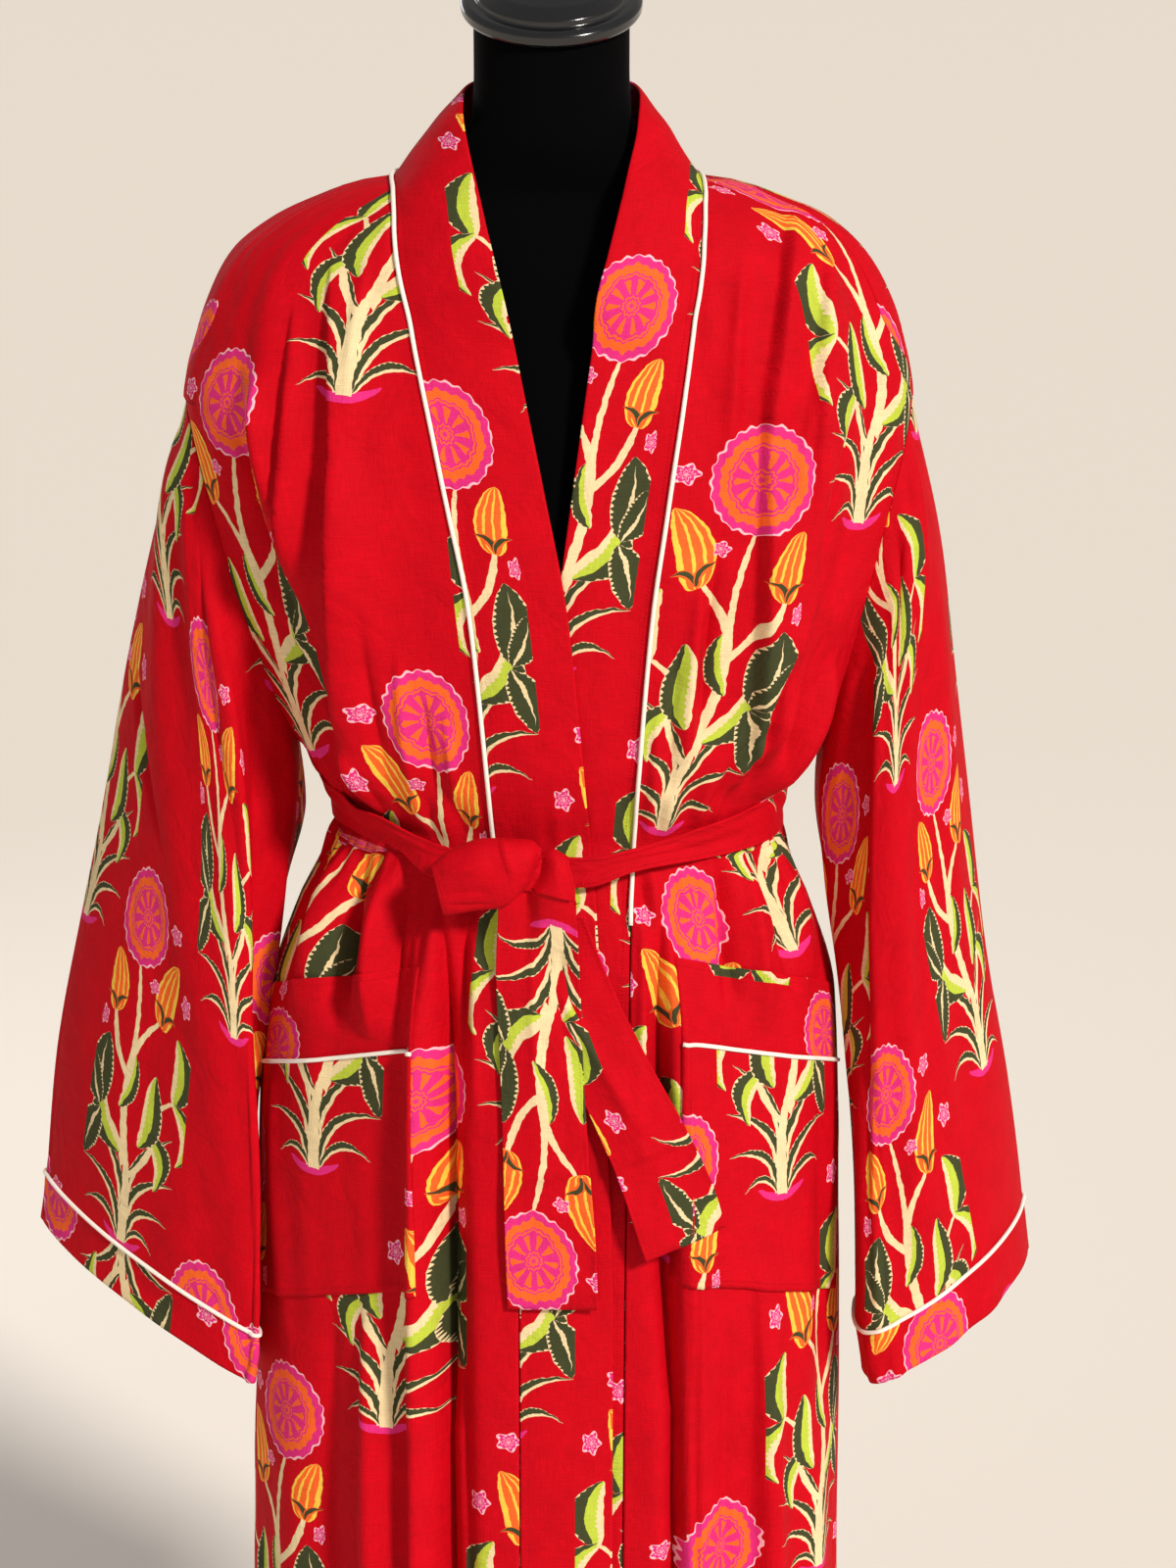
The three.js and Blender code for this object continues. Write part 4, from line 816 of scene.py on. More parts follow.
def panel_place(side, way, turn, edge, z, share, lift, gain):
    """A place on the cloth, pulled by (1 - share / 0.4) squared towards the sleeve's edge."""
    spot, out = place(turn, z, lift, gain)
    pull = np.where(np.abs(z - ARM_MID) <= ARM_HALF, (1 - np.minimum(share / 0.4, 1)) ** 2, 0)
    seam = armhole_spot(side, z, way)
    seam[..., 0] -= np.sign(seam[..., 0]) * 0.7 * MM
    return spot + (seam - ring_spot(edge, z)) * pull[..., None], out


LEVELS = np.concatenate([
    np.linspace(NECK_SEAM, ARMHOLE_TOP, 46)[:-1], ARM_MID + ARM_HALF * np.cos(np.linspace(0, np.pi, 56)),
    np.linspace(ARMHOLE_FOOT, HEM, 172)[1:]])


def front_places(side, level, even):
    """A front's places for rows at `level` and columns at `even` shares from the side to the band."""
    level, even = np.broadcast_arrays(level, even)
    z = row_height(level, even)
    edge = edge_turn(side, z, 1)
    seam = seam_x(side, z) + (-SEAM / 2 if side == "right" else SEAM / 2)
    turn = mix(edge, turn_at(seam, z), even)
    x = ring_spot(turn, z)[..., 0]
    lift = underlap(x, z) if side == "left" else np.zeros_like(z)
    gain = ease(0, 0.09, even) * (1 - ease(0.95, 1, even) * ease(1290 * MM, 1330 * MM, z))
    spot, out = panel_place(side, 1, turn, edge, z, even, lift, gain)
    return spot, out, turn, z


def back_places(level, across):
    """The back's places for rows at `level` and columns at shares from its right edge to its left."""
    level, across = np.broadcast_arrays(level, across)
    share = 2 * np.minimum(across, 1 - across)
    z = row_height(level, share)
    edges = edge_turn("right", z, -1), edge_turn("left", z, -1) - 360
    turn = mix(*edges, across)
    (right, out), (left, _) = (panel_place(side, -1, turn, edge, z, share, 0, ease(0, 0.09, share))
                               for side, edge in zip(SIDES, edges))
    return np.where((across < 0.5)[..., None], right, left), out, turn, z


def build_panel(name, places, count):
    """A panel of `count` columns; `places` gives its points for levels and shares across."""
    spot, out, turn, z = places(LEVELS[:, None], np.linspace(0, 1, count)[None, :])
    cut = cut_place(turn, z, CUTS[name])
    # a panel shows no topstitch, so its second measure is only a copy of the first
    grid_piece(name, spot, out, cut, cut, panel_cotton, thick=SINGLE)


build_panel("back", back_places, 121)
for side in SIDES:
    build_panel(f"front_{side}", lambda level, even: front_places(side, level, even), 139)

# %% [markdown]
# ## The sleeves and their cuffs
# Each sleeve is a wide straight tube set on at the dropped shoulder, pressed flat with a fold down its
# outer side, with a cuff band and a white piping between them. A tube is a grid whose last column joins
# the first.

# %% Sleeves
# row and angle of both ends, half width in degrees, height in mm
SLEEVE_CREASES = {
    "right": [
        (0.6, 122, 7.9, 138, 15, -11), (0.5, 8, 4.6, 66, 13, 7), (2.9, 12, 3.6, 44, 4, -4),
        (2.8, 100, 7.6, 104, 12, 5), (0.0, 40, 2.2, 62, 7, 4.0), (0.1, 62, 2.6, 84, 6, -3.6),
        (0.3, 90, 3.4, 112, 8, 4.2), (0.2, 120, 3.6, 132, 7, -4.0), (0.1, 150, 4.4, 150, 8, 4.5),
        (1.8, 40, 6.2, 52, 9, -2.8), (2.2, 76, 7.6, 74, 9, 2.6), (2.6, 104, 7.8, 98, 7, -3.0),
        (3.6, 128, 7.9, 122, 8, 3.0), (0.2, -40, 2.8, -66, 8, 3.8), (0.2, -90, 3.6, -110, 9, -4.0),
        (0.3, -130, 4.2, -140, 8, 4.2), (2.4, -50, 7.6, -58, 10, 2.8), (3.0, -96, 7.8, -92, 9, -2.8),
        (4.4, -128, 7.9, -124, 9, 2.6)],
    "left": [
        (0.3, 114, 5.4, 118, 13, -10), (0.4, 30, 5.6, 44, 14, 6), (2.0, 78, 7.6, 72, 10, 5),
        (0.0, 36, 2.4, 54, 7, 4.0), (0.1, 66, 2.2, 80, 6, -4.0), (0.2, 96, 3.8, 108, 8, 4.0),
        (0.2, 126, 3.4, 138, 7, -4.4), (0.1, 152, 4.6, 156, 8, 4.4), (1.6, 46, 6.4, 40, 9, -2.6),
        (2.4, 72, 7.6, 80, 9, 2.8), (3.0, 100, 7.8, 106, 8, -2.8), (4.0, 132, 7.9, 126, 8, 2.8),
        (0.2, -44, 2.6, -60, 8, 3.6), (0.2, -86, 3.4, -104, 9, -4.0), (0.3, -128, 4.4, -136, 8, 4.0),
        (2.6, -54, 7.6, -50, 10, 2.8), (3.2, -92, 7.8, -98, 9, -3.0), (4.2, -130, 7.9, -132, 9, 2.6)]}


def sleeve_folds(side, at, angle):
    """Creases and soft waves on a sleeve; they fade at the armhole and press flat at the cuff's seam."""
    total = np.zeros(np.broadcast(at, angle).shape)
    for at0, angle0, at1, angle1, width, height in SLEEVE_CREASES[side]:
        s = np.clip((at - at0) / (at1 - at0), 0, 1)
        off = wrapped(angle - mix(angle0, angle1, s))
        total = total + height * MM * np.sin(np.pi * s) ** 0.7 * np.exp(-(off / width) ** 2)
    wave = waviness(np.cos(np.radians(angle)) * 0.085, np.sin(np.radians(angle)) * 0.03 + at * 0.03,
                    seed=21 if side == "right" else 22, size=0.05)
    total = total + 1.3 * MM * wave
    return total * ease(0, 0.7, at) * (1 - 0.7 * np.exp(-((at - CUFF_ROW) / 0.25) ** 2))


def sleeve_places(side, at, angle, lift=0.0):
    """A sleeve's places with their creases, and the way out there."""
    at, angle = np.broadcast_arrays(at, angle)
    out = sleeve_out(side, at, angle)
    return sleeve_spot(side, at, angle) + out * (sleeve_folds(side, at, angle) + lift)[..., None], out


SLEEVE_COLUMNS = 160
sleeve_angles = 180 - 360 * np.arange(SLEEVE_COLUMNS) / SLEEVE_COLUMNS
FRONT_COLUMN = SLEEVE_COLUMNS // 4          # the print is measured from the sleeve's front
GAP_SHARE = SEAM / 2 / (45 * MM)
sleeve_rows = np.linspace(GAP_SHARE, CUFF_ROW - GAP_SHARE, 150)
cuff_rows = np.linspace(CUFF_ROW + GAP_SHARE, CUFF_ROW + 1 - GAP_SHARE, 18)
for side in SIDES:
    for name, rows, cloth, thick in ((f"sleeve_{side}", sleeve_rows, panel_cotton, SINGLE),
                                     (f"cuff_{side}", cuff_rows, hemmed_cotton, 1.6 * MM)):
        spots, out = sleeve_places(side, rows[:, None], sleeve_angles[None, :])
        round_, down = closed_lengths(spots)
        across = (round_ - round_[:, FRONT_COLUMN:FRONT_COLUMN + 1]) * (1 if side == "right" else -1)
        if rows is cuff_rows:       # a cuff is turned up, so its print hangs upside down
            measure = np.stack([-across, down], -1)
        else:
            measure = np.stack([across, down[-1:] - down], -1)
        grid_piece(name, spots, out, measure + np.array(CUTS[name]), measure, cloth, thick=thick, closed=True)

# %% [markdown]
# ## Strips of folded cloth
# The neckband, the belt, the pocket bands and the belt's ends are folded double, so their edges are
# round, not cut. A strip's section is a closed loop: the outer face, a half round edge, the inner face
# and the other edge.


# %% Strip sections
CORD = 1.5 * MM             # the piping's radius


def directions(spots, like):
    """The way out of a grid surface, from its own slopes, on the side of `like`."""
    normal = unit(np.cross(np.gradient(spots, axis=1), np.gradient(spots, axis=0)))
    sign = np.sign(np.sum(normal * like))
    return normal * (sign if sign else 1)


def strip_piece(name, face, out, cut, seam, material, thick, wrap_rows=False, steps=5):
    """A double-folded strip from the grid of its outer face; its long edges are half round."""
    face, half = face.copy(), thick / 2
    bend = np.linspace(0, np.pi, steps + 2)[1:-1]
    edges = []
    for side_, inner in ((0, 1), (-1, -2)):
        way = unit(face[:, side_] - face[:, inner])
        core = face[:, side_] - way * half - out[:, side_] * half
        face[:, side_] = face[:, side_] - way * half
        edges.append(np.stack([core + half * (way * np.sin(a) + out[:, side_] * np.cos(a)) for a in bend], 1))

    def loop(values, under, last_edge=None, first_edge=None):
        """Round the section; along the round edges a measure stays at the edge's own."""
        if last_edge is None:
            last_edge, first_edge = values[:, -1:].repeat(steps, 1), under[:, :1].repeat(steps, 1)
        return np.concatenate([values, last_edge, under[:, ::-1], first_edge], axis=1)

    # a closed grid's measures have the first column again at the end
    measures = [np.concatenate([loop(values, values), values[:, :1]], 1) for values in (cut, seam)]
    grid_piece(name, loop(face, face - out * thick, edges[1], edges[0][:, ::-1]), loop(out, -out), *measures,
               material, closed=True, wrap_rows=wrap_rows, lids=0 if wrap_rows else face.shape[1])


def tube_piece(name, path, out, wrap=False, sides=12):
    """Piping: a round covered cord along a path that lies on a surface with the way out `out`."""
    along = unit(np.roll(path, -1, 0) - np.roll(path, 1, 0)) if wrap else unit(np.gradient(path, axis=0))
    across = unit(np.cross(along, out))
    up = np.cross(across, along)
    angle = 2 * np.pi * np.arange(sides) / sides
    ring = across[:, None] * np.cos(angle)[:, None] + up[:, None] * np.sin(angle)[:, None]
    run = lengths(np.concatenate([path, path[:1]] if wrap else [path])[:, None], 0)
    measure = np.stack(np.broadcast_arrays(run, (CORD * np.append(angle, 2 * np.pi))[None, :]), -1)
    grid_piece(name, path[:, None] + ring * CORD, ring, measure, measure, piping_cotton, closed=True,
               wrap_rows=wrap, fan_ends=not wrap)


# %% [markdown]
# ## The neckband
# One long band, folded double, is sewn to both fronts and round the neck. Below the chest it lies flat;
# above, its free edge leans in and stands up round the neck with a soft roll. White piping fills its seam
# and a topstitch runs beside it.

# %% Neckband and its piping
BAND_WIDTH = 64 * MM
PIPING_FOOT = 960 * MM      # the piping ends just below the belt
COLLAR = columns("seam_z x y z", [
    (1360, 29, -111, 1375), (1390, 37, -94, 1406), (1412, 43, -80, 1429), (1428, 48.5, -66, 1450),
    (1440, 55, -44, 1475)])
NECK_BACK = columns("turn x y z", [
    (0, 59, -14, 1498), (-28, 56, 27, 1508), (-58, 36, 53, 1512), (-90, 0, 63, 1514)])
NECK_BACK["turn"] /= MM     # turns are degrees


def smooth_rows(points, per):
    """Points between rows by a Catmull-Rom curve, `per` steps to each row, from the second row on."""
    p = np.concatenate([points, 2 * points[-1:] - points[-2:-1]])
    f = (np.arange(per) / per).reshape(-1, *[1] * (points.ndim - 1))
    a, b, c, d = (p[k:len(p) - 3 + k, None] for k in range(4))
    between = 0.5 * (2 * b + (c - a) * f + (2 * a - 5 * b + 4 * c - d) * f ** 2
                     + (3 * b - a - 3 * c + d) * f ** 3)
    return np.concatenate([between.reshape(-1, *points.shape[1:]), points[-1:]])


def band_face(side):
    """The band's outer face: rows from the hem to the back of the neck, columns from seam to free edge."""
    sign = -1 if side == "right" else 1
    share = np.linspace(0, 1, 25)

    def on_chest(level):
        lean = ease(1150 * MM, 1260 * MM, level)
        sewn_x = seam_x(side, level)
        free_x = sewn_x - sign * (BAND_WIDTH - 2 * MM * lean)
        x = mix(sewn_x, free_x, share + SEAM * (1 - share) / BAND_WIDTH)
        z = level + 15 * MM * lean * share
        lift = underlap(x, z) if side == "left" else 0.0
        return place(turn_at(x, z), z, lift, ease(1330 * MM, 1290 * MM, z))

    # the standing part: for each row of the two tables, its sewn edge and its free edge
    seams = [(turn_at(seam_x(side, level), level), level) for level in COLLAR["seam_z"]]
    seams += [(turn if side == "right" else 180 - turn, NECK_SEAM) for turn in NECK_BACK["turn"]]
    free = np.concatenate([np.stack([sign * table["x"], table["y"], table["z"]], -1)
                           for table in (COLLAR, NECK_BACK)])
    sewn = np.stack([place(turn, level, 0.0, 0.0)[0] for turn, level in seams])
    sewn = sewn + unit(free - sewn) * 0.9 * MM
    sewn[-1, 0] = free[-1, 0] = sign * SEAM / 2
    collar = mix(sewn[:, None], free[:, None], share[:, None])
    chest, chest_out = on_chest(np.linspace(HEM, 1326 * MM, 250)[:, None])
    control, _ = on_chest(np.array([[1300 * MM], [1330 * MM]]))
    upper = smooth_rows(np.concatenate([control, collar], 0), 10)
    face = np.concatenate([chest, upper], 0)
    out = directions(face, np.concatenate([chest_out, np.repeat(chest_out[-1:], len(upper), 0)], 0))
    # the standing part rolls: it bows out in the middle and its free edge turns in a little
    roll = ease(1300 * MM, 1400 * MM, face[:, :1, 2]) * (4 * share * (1 - share)) ** 0.8 * 3.2 * MM
    soft = 0.5 * MM * waviness(face[..., 2], share[None] * 0.05,
                               seed=31 if side == "right" else 32, size=0.06)
    face = face + out * ((roll + soft * ease(1300 * MM, 1380 * MM, face[..., 2]))[..., None])
    return face, directions(face, out)


bands = {side: band_face(side) for side in SIDES}


def neck_half(side):
    """The piping's path up one side, in the seam between the band and the panels, and the way out there."""
    face, out = bands[side]
    keep = face[:, 0, 2] > PIPING_FOOT
    spot, way = face[keep, 0], out[keep, 0]
    turn = turn_at(spot[:, 0], spot[:, 2]) * np.where(spot[:, 1] < 0, 1, -1)
    up = ease(1350 * MM, 1375 * MM, spot[:, 2])[:, None]
    way = unit(way + outward(turn, spot[:, 2]) * up)
    return spot + way * (2 * SEAM + CORD), way


for side, (face, out) in bands.items():
    down, across = lengths(face, 0), lengths(face, 1)
    cut = np.stack([across if side == "right" else -across, down], -1) + np.array(CUTS[f"band_{side}"])
    strip_piece(f"band_{side}", face, out, cut, np.stack([down, across], -1), hemmed_cotton, thick=2.2 * MM)
(right_path, right_way), (left_path, left_way) = neck_half("right"), neck_half("left")
tube_piece("neck_piping", np.concatenate([right_path, left_path[-2::-1]]),
           np.concatenate([right_way, left_way[-2::-1]]))
for side in SIDES:
    path, way = sleeve_places(side, np.full(SLEEVE_COLUMNS, float(CUFF_ROW)), sleeve_angles, 2 * SEAM + CORD)
    tube_piece(f"cuff_piping_{side}", path, way, wrap=True)

# %% [markdown]
# ## The pockets
# A pocket is a patch sewn on the front, with a folded band along its mouth and piping between them. It is
# made from the front's own places moved out, so it follows every fold. Its mouth gapes a little.

# %% Pockets
POCKET_LIFT = 1.9 * MM


def pocket_places(side, level, across):
    """A front's places under the pocket, moved out: rows at `level`, columns at shares of its width."""
    slant = POCKET["slant"] * ease(POCKET["mouth"], POCKET["foot"], level)
    even = mix(POCKET["outer"] + slant, POCKET["inner"][side], across)
    spot, out, turn, z = front_places(side, level, even)
    gape = 3.0 * MM * (4 * across * (1 - across)) ** 1.5 * ease(880 * MM, POCKET["mouth"], level)
    return spot + out * (POCKET_LIFT + gape)[..., None], out, turn, z


across = np.linspace(0, 1, 73)
for side in SIDES:
    name = f"pocket_{side}"
    level = np.linspace(POCKET["piping"] - SEAM / 2, POCKET["foot"] + SEAM / 2, 56)[:, None]
    spot, out, turn, z = pocket_places(side, level, across[None, :])
    run, down = lengths(spot, 1), lengths(spot, 0)
    edge = np.minimum(np.minimum(run, run[:, -1:] - run), down[-1:] - down)
    grid_piece(name, spot, out, cut_place(turn, z, CUTS[name]), np.stack([run + down, edge], -1),
               hemmed_cotton, thick=1.2 * MM)
    name = f"pocket_band_{side}"
    level = np.linspace(POCKET["mouth"] - SEAM / 2, POCKET["piping"] + SEAM / 2, 20)[:, None]
    spot, out, turn, z = pocket_places(side, level, across[None, :])
    run, down = lengths(spot, 1), lengths(spot, 0)
    # cut along the cloth, so the print lies on its side
    cut = np.stack([down if side == "right" else -down, run], -1) + np.array(CUTS[name])
    # a strip's rows run along it, so the band's grid is turned on its side
    turned = [np.swapaxes(a, 0, 1) for a in (spot, out, cut, np.stack([run, down], -1))]
    strip_piece(name, *turned, hemmed_cotton, thick=2.0 * MM)
    path, way = pocket_places(side, np.full(73, POCKET["piping"]), across)[:2]
    tube_piece(f"pocket_piping_{side}", path + way * (SEAM + CORD), way)

# %% [markdown]
# ## The belt
# The belt is a long strip folded double. It lies on the crests of the folds round the waist, dips to the
# knot in front, and its two ends hang down. Pulled tight, it creases along its length.

# %% Belt round the waist
def crest(turn, z):
    """The highest fold near a place, since a taut strip lies on the crests; blurred along the turn."""
    total = 0
    for blur in (-3, 0, 3):
        heights = [fold_height(turn + blur + off, z + up * MM)
                   for off in (-8, -4, 0, 4, 8) for up in (-16, 0, 16)]
        total = total + np.maximum(np.max(heights, axis=0), 0) / 3
    return total


def over(turn, z, lift):
    """A place on a strip that lies over the robe."""
    turn, z = np.broadcast_arrays(np.asarray(turn, float), np.asarray(z, float))
    out = outward(turn, z)
    return ring_spot(turn, z) + out * (crest(turn, z) + lift)[..., None], out


belt_turns = (np.arange(360) - 180.0)[:, None]
belt_share = np.linspace(1, -1, 17)[None, :]
lift = mix(1.6 * MM, 5.4 * MM, ease(42, 60, belt_turns) * ease(138, 120, belt_turns)) + WALL
middle = read(BELT_LINE, "z", belt_turns)
spot, out = over(belt_turns, middle + belt_share * read(BELT_LINE, "half", belt_turns), lift)
waist, waist_out = over(belt_turns, middle, lift)
# its edges don't fall in more than a millimetre behind its middle
reach = np.hypot(spot[..., 0], spot[..., 1])
spot[..., :2] *= (np.maximum(reach, np.hypot(waist[..., 0], waist[..., 1]) - 1 * MM) / reach)[..., None]
# lengthwise creases that wander across the strip, deepest beside the knot
near_knot = np.exp(-((belt_turns - 88) / 30) ** 2)
wander = 0.9 * np.sin(np.radians(belt_turns) * 3) + 0.5 * np.sin(np.radians(belt_turns) * 7 + 1)
ripple = np.sin(4.2 * belt_share + wander) + 0.6 * np.sin(8 * belt_share - 1.6 * wander)
dome = 1 - belt_share ** 2
spot = spot + waist_out * ((1.2 + 1.3 * near_knot) * dome * MM
                           + (0.45 + 0.5 * near_knot) * MM * ripple * dome)[..., None]
belt_out = directions(spot, np.broadcast_to(waist_out, spot.shape))
run, wide = (lengths(np.concatenate([spot, spot[:1]], 0), axis) for axis in (0, 1))
# the belt is cut along the cloth, so the print lies on its side
cut = np.stack([wide, run], -1) + np.array(CUTS["belt"])
# it is joined from two lengths, with the join inside the knot, so the print jumps sideways there
cut[..., 0] += 27 * MM * (run < 0.615)
seam = np.stack([run, np.minimum(wide, wide[:, -1:] - wide)], -1)
strip_piece("belt_round", spot, belt_out, cut, seam, belt_cotton, 1.6 * MM, wrap_rows=True)

# %% Belt's ends
END_FRONT = columns("z from to lift", [
    (973, -34, 16, 5.4), (930, -36, 18, 5.6), (860, -34, 21, 7), (790, -32, 25, 6.8), (745, -31, 28, 6),
    (700, -30, 30, 6)])
END_UNDER = columns("z from to lift", [
    (970, -12, 21, 2.4), (930, -10, 37, 2.6), (880, 6, 60, 3), (830, 28, 84, 5.4), (790, 44, 100, 6),
    (744, 60, 112, 6)])
KNOT = columns("x z half deep", [
    (-78, 994, 15, 5), (-66, 999, 20, 10), (-45, 1004.5, 22, 14.5), (-26, 1005, 21.5, 14), (-4, 1003, 21, 12),
    (8, 999, 19, 10), (17, 995, 17, 5)])
KNOT_DEPTH = -138.7 * MM
VALLEY = [(-7, 1034, -30, 976, 10, 9, -8, -8)]      # the dip where the wrap turns down into the end
KNOT_CREASES = VALLEY + [
    (-34, 1030, -24, 1004, 3, 5, 2.4, 0), (-74, 992, -38, 996, 5, 5, -2.2, -2),
    (-72, 1006, -40, 1016, 4, 6, 2, 0), (-70, 986, -36, 988, 3, 3, -2.0, 0), (4, 1020, 2, 990, 4, 6, 1.6, 0)]


def signed_power(value, power):
    """A power of the value's size, with its sign kept."""
    return np.sign(value) * np.abs(value) ** power


def knot_face(x, round_, shrink):
    """A loaf-shaped ring round the x axis; round_ is degrees from the front, towards the top."""
    c, s = np.cos(np.radians(round_)), np.sin(np.radians(round_))
    y = KNOT_DEPTH - (read(KNOT, "deep", x) - shrink) * signed_power(c, 0.8)
    z = read(KNOT, "z", x) + (read(KNOT, "half", x) - shrink) * signed_power(s, 0.8)
    return np.stack(np.broadcast_arrays(x, y, z), -1)


def from_axis(face):
    """The way from the knot's middle line to each point of a face."""
    x = face[..., 0]
    return face - np.stack(np.broadcast_arrays(x, KNOT_DEPTH, read(KNOT, "z", x)), -1)


def valley_x(z):
    """Where the dip runs, as x at height z: a line bowed to the left hand side."""
    s = np.clip((1034 * MM - z) / (58 * MM), 0, 1)
    return (-7 - 23 * s + 8 * 4 * s * (1 - s)) * MM


def knot_skin(x, round_, drop):
    """The knot's soft surface with its creases, moved out by `drop` (back, if minus); also the way out."""
    face = knot_face(x, round_, 0)
    out = directions(face, from_axis(face))
    bumps = crease_height(face[..., 0], face[..., 2], KNOT_CREASES) * ease(100, 70, np.abs(round_))
    return face + out * (bumps + drop)[..., None], out


def belt_end(name, table, slant, creases, cut_from, over_knot=False):
    """A free end of the belt: a strip between two edge curves, over the robe, its foot cut at a slant."""
    share = np.linspace(0, 1, 41)[None, :]
    top_z, foot_z = table["z"].max(), table["z"].min()
    first, start_row = top_z + 0 * share, 0
    if over_knot:
        # the strip comes from behind over the knot, at first under the wrap, then out of the dip beside it
        round_ = np.linspace(150, -26, 46)[:, None]
        top_x = mix(-34 * MM, mix(12, 16, ease(60, -10, round_)) * MM, share)
        bare = knot_face(top_x, round_, 0)
        under = ease(10 * MM, -1 * MM, bare[..., 0] - valley_x(bare[..., 2]))
        top, top_out = knot_skin(top_x, round_, -6.2 * MM * under)
        first, start_row = top[-1:, :, 2] - 1.2 * MM, len(top) - 1
    rows = mix(first, foot_z, np.linspace(0, 1, 90)[:, None])
    x = mix(read(table, "from", rows), read(table, "to", rows), share)
    z = rows + ease(foot_z + 60 * MM, foot_z, rows) * slant * MM * (2 * share - 1)
    face, out = over(turn_at(x, z), z, read(table, "lift", rows))
    edge_curl = 1.6 * MM * np.abs(2 * share - 1) ** 3 * np.sin((z - rows.min()) * 30)
    soft = 1.1 * MM * waviness(share * 0.06, z, seed=41, size=0.07) * ease(top_z, top_z - 40 * MM, z)
    face = face + out * (crease_height(x, z, creases) + edge_curl + soft)[..., None]
    if over_knot:
        gone = top[-1, :, 1] - face[0, :, 1]
        face[..., 1] += gone[None] * np.clip(1 - (first - rows) / (58 * MM), 0, 1) ** 1.5
        face, out = np.concatenate([top, face], 0), np.concatenate([top_out, out], 0)
    out = directions(face, out)
    down, wide = lengths(face, 0), lengths(face, 1)
    # the ends hang upside down: the print's up is the belt's way down
    cut = np.stack([-wide, down - down[start_row:start_row + 1]], -1) + np.array(cut_from)
    seam = np.stack([down, np.minimum(np.minimum(wide, wide[:, -1:] - wide), down[-1:] - down)], -1)
    strip_piece(name, face, out, cut, seam, belt_cotton, 1.5 * MM)


belt_end("belt_end_front", END_FRONT, 0, [(-32, 792, 24, 800, 5, 5, 3, 0), (-12, 960, -8, 840, 6, 6, 3, 2),
                                          (6, 955, 8, 880, 5, 5, -3, 0)], (-0.115, 0.016), over_knot=True)
belt_end("belt_end_under", END_UNDER, 9, [(30, 800, 90, 822, 4, 7, 4, 0), (0, 930, 60, 820, 6, 10, 4, 0)],
         (0.026, 0.094))

# %% [markdown]
# ## The knot
# The belt's end comes up behind, over, and down in front as a broad soft wrap, closed at its right edge
# and folded at its left, with the rest of the strip packed inside it.

# %% Knot
# rows run from the open left end to the dip; columns run from the free lower edge over the top to the back
knot_round = np.linspace(-78, 155, 84)[None, :]
wrap_z = knot_face(-0.02, knot_round, 0)[..., 2]
left_end = (-74.5 - 4 * np.sin(np.radians(knot_round))) * MM
knot_x = mix(left_end, valley_x(wrap_z), np.linspace(0, 1, 80)[:, None])
bare = knot_face(knot_x, knot_round, 0)
tucked = ease(-8 * MM, 1 * MM, bare[..., 0] - valley_x(bare[..., 2])) * 4.6 * MM
face, out = knot_skin(knot_x, knot_round, 0.3 * MM - tucked)
run, down = lengths(face, 0), lengths(face, 1)
grid_piece("belt_knot_wrap", face, out, np.stack([run + 0.012, down + 0.33], -1),
           np.stack([down, np.minimum(run, down)], -1), belt_cotton, thick=1.5 * MM, node="belt_knot")
core_round = np.linspace(-180, 180, 73)[None, :-1]
core_x = np.linspace(-73 * MM, 8 * MM, 40)[:, None]
core = knot_face(core_x, core_round, 9.4 * MM)
fold_line = 0.9 * MM * np.cos(np.radians(core_round * 5 + 3000 * core_x))
core_out = from_axis(core)
core = core + unit(core_out) * (fold_line - 0.9 * MM)[..., None]
measure = np.stack(closed_lengths(core)[::-1], -1)
grid_piece("belt_knot_core", core, core_out, measure + 0.2, measure + 0.05, belt_cotton, closed=True,
           fan_ends=True, node="belt_knot")

# %% [markdown]
# ## The dress form
# A limbless torso and neck in black velvet, with a glossy cap on the neck, on a steel pole and base.

# %% Form
TORSO = columns("z wide front back", [
    (790, 128, 84, 88), (796, 146, 96, 101), (812, 155, 103, 107), (870, 158, 106, 110), (950, 143, 97, 99),
    (1020, 120, 84, 82), (1100, 132, 98, 90), (1190, 148, 112, 99), (1280, 158, 104, 104),
    (1340, 168, 88, 102), (1376, 178, 74, 97), (1398, 183, 64, 92), (1412, 176, 56, 88),
    (1424, 158, 48, 84), (1433, 138, 42, 80), (1440, 113, 40, 76), (1447, 91, 42, 70), (1458, 72, 46, 62),
    (1472, 60, 50, 56), (1490, 53, 51, 53), (1520, 51.5, 51, 52), (1556, 51.5, 51, 52)])
NECK_TILT = math.radians(24)


def turned_piece(name, spots, out, material):
    """A closed shape from rings of points, measured round and down."""
    measure = np.stack(closed_lengths(spots), -1)
    grid_piece(name, spots, out, measure, measure, material, closed=True, fan_ends=True)


heights = np.concatenate([np.linspace(790, 816, 14)[:-1], np.linspace(816, 1370, 70)[:-1],
                          np.linspace(1370, 1556, 70)])[:, None] * MM
angle = np.radians(np.arange(128) * 360 / 128)[None, :]
c, s = signed_power(np.cos(angle), 0.95), signed_power(np.sin(angle), 0.95)
x, y = -read(TORSO, "wide", heights) * c, -s * either(s > 0, TORSO, "front", "back", heights)
lean = math.tan(NECK_TILT) * ease(1480 * MM, 1556 * MM, heights)
torso_spots = np.stack(np.broadcast_arrays(x, y, heights + lean * y), -1)
turned_piece("form_torso", torso_spots, torso_spots * np.array([1, 1, 0]), velvet)


